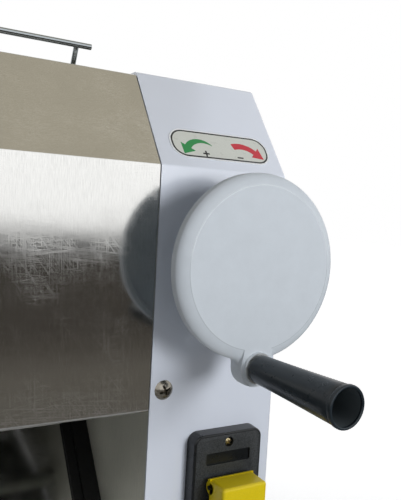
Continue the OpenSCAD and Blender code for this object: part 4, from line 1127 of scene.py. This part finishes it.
class SHEETER_OT_dial(SheeterOperator, bpy.types.Operator):
    """Builds the dial"""

    bl_idname = "sheeter.dial"
    bl_label = "Dial"

    def execute(self, context):
        build_dial(self.sizes)
        return {"FINISHED"}


class SHEETER_OT_grip(SheeterOperator, bpy.types.Operator):
    """Builds the revolving grip"""

    bl_idname = "sheeter.grip"
    bl_label = "Grip"

    def execute(self, context):
        build_grip(self.sizes)
        return {"FINISHED"}


class SHEETER_OT_label(SheeterOperator, bpy.types.Operator):
    """Builds the thickness label"""

    bl_idname = "sheeter.label"
    bl_label = "Thickness label"

    def execute(self, context):
        build_label()
        return {"FINISHED"}


class SHEETER_OT_screws(SheeterOperator, bpy.types.Operator):
    """Builds the cross-head screws of the covers and the switch plate"""

    bl_idname = "sheeter.screws"
    bl_label = "Screws"

    def execute(self, context):
        build_screws()
        return {"FINISHED"}


class SHEETER_OT_switch(SheeterOperator, bpy.types.Operator):
    """Builds the switch plate, its flap, mushroom and buttons"""

    bl_idname = "sheeter.switch"
    bl_label = "Switch"

    def execute(self, context):
        build_switch(self.sizes)
        build_flap(self.sizes)
        build_buttons()
        return {"FINISHED"}


class SHEETER_OT_guard(SheeterOperator, bpy.types.Operator):
    """Builds the wire guard"""

    bl_idname = "sheeter.guard"
    bl_label = "Wire guard"

    def execute(self, context):
        build_guard()
        return {"FINISHED"}


class SHEETER_OT_stage(SheeterOperator, bpy.types.Operator):
    """Builds the floor, the light and the camera"""

    bl_idname = "sheeter.stage"
    bl_label = "Stage"

    def execute(self, context):
        build_stage()
        return {"FINISHED"}


class SHEETER_PT_panel(bpy.types.Panel):
    """Lists the pieces with their sizes and colours"""

    bl_idname = "SHEETER_PT_panel"
    bl_label = "Dough sheeter"
    bl_space_type = "VIEW_3D"
    bl_region_type = "UI"
    bl_category = "Sheeter"

    def draw(self, context):
        for group in (context.scene.sheeter_sizes, context.scene.sheeter_colours):
            box = self.layout.box()
            for name in group.__annotations__:
                box.prop(group, name)
        for operator in OPERATORS:
            self.layout.operator(operator.bl_idname)


OPERATORS = (
    SHEETER_OT_stage, SHEETER_OT_finishes, SHEETER_OT_covers, SHEETER_OT_hood, SHEETER_OT_dial,
    SHEETER_OT_grip, SHEETER_OT_label, SHEETER_OT_screws, SHEETER_OT_switch, SHEETER_OT_guard,
)
CLASSES = (SheeterSizes, SheeterColours, *OPERATORS, SHEETER_PT_panel)


def register():
    for made in CLASSES:
        bpy.utils.register_class(made)
    bpy.types.Scene.sheeter_sizes = bpy.props.PointerProperty(type=SheeterSizes)
    bpy.types.Scene.sheeter_colours = bpy.props.PointerProperty(type=SheeterColours)


def unregister():
    del bpy.types.Scene.sheeter_colours
    del bpy.types.Scene.sheeter_sizes
    for made in reversed(CLASSES):
        bpy.utils.unregister_class(made)


def main():
    register()
    for operator in OPERATORS:
        group, name = operator.bl_idname.split(".")
        getattr(getattr(bpy.ops, group), name)()


if __name__ == "__main__":
    main()
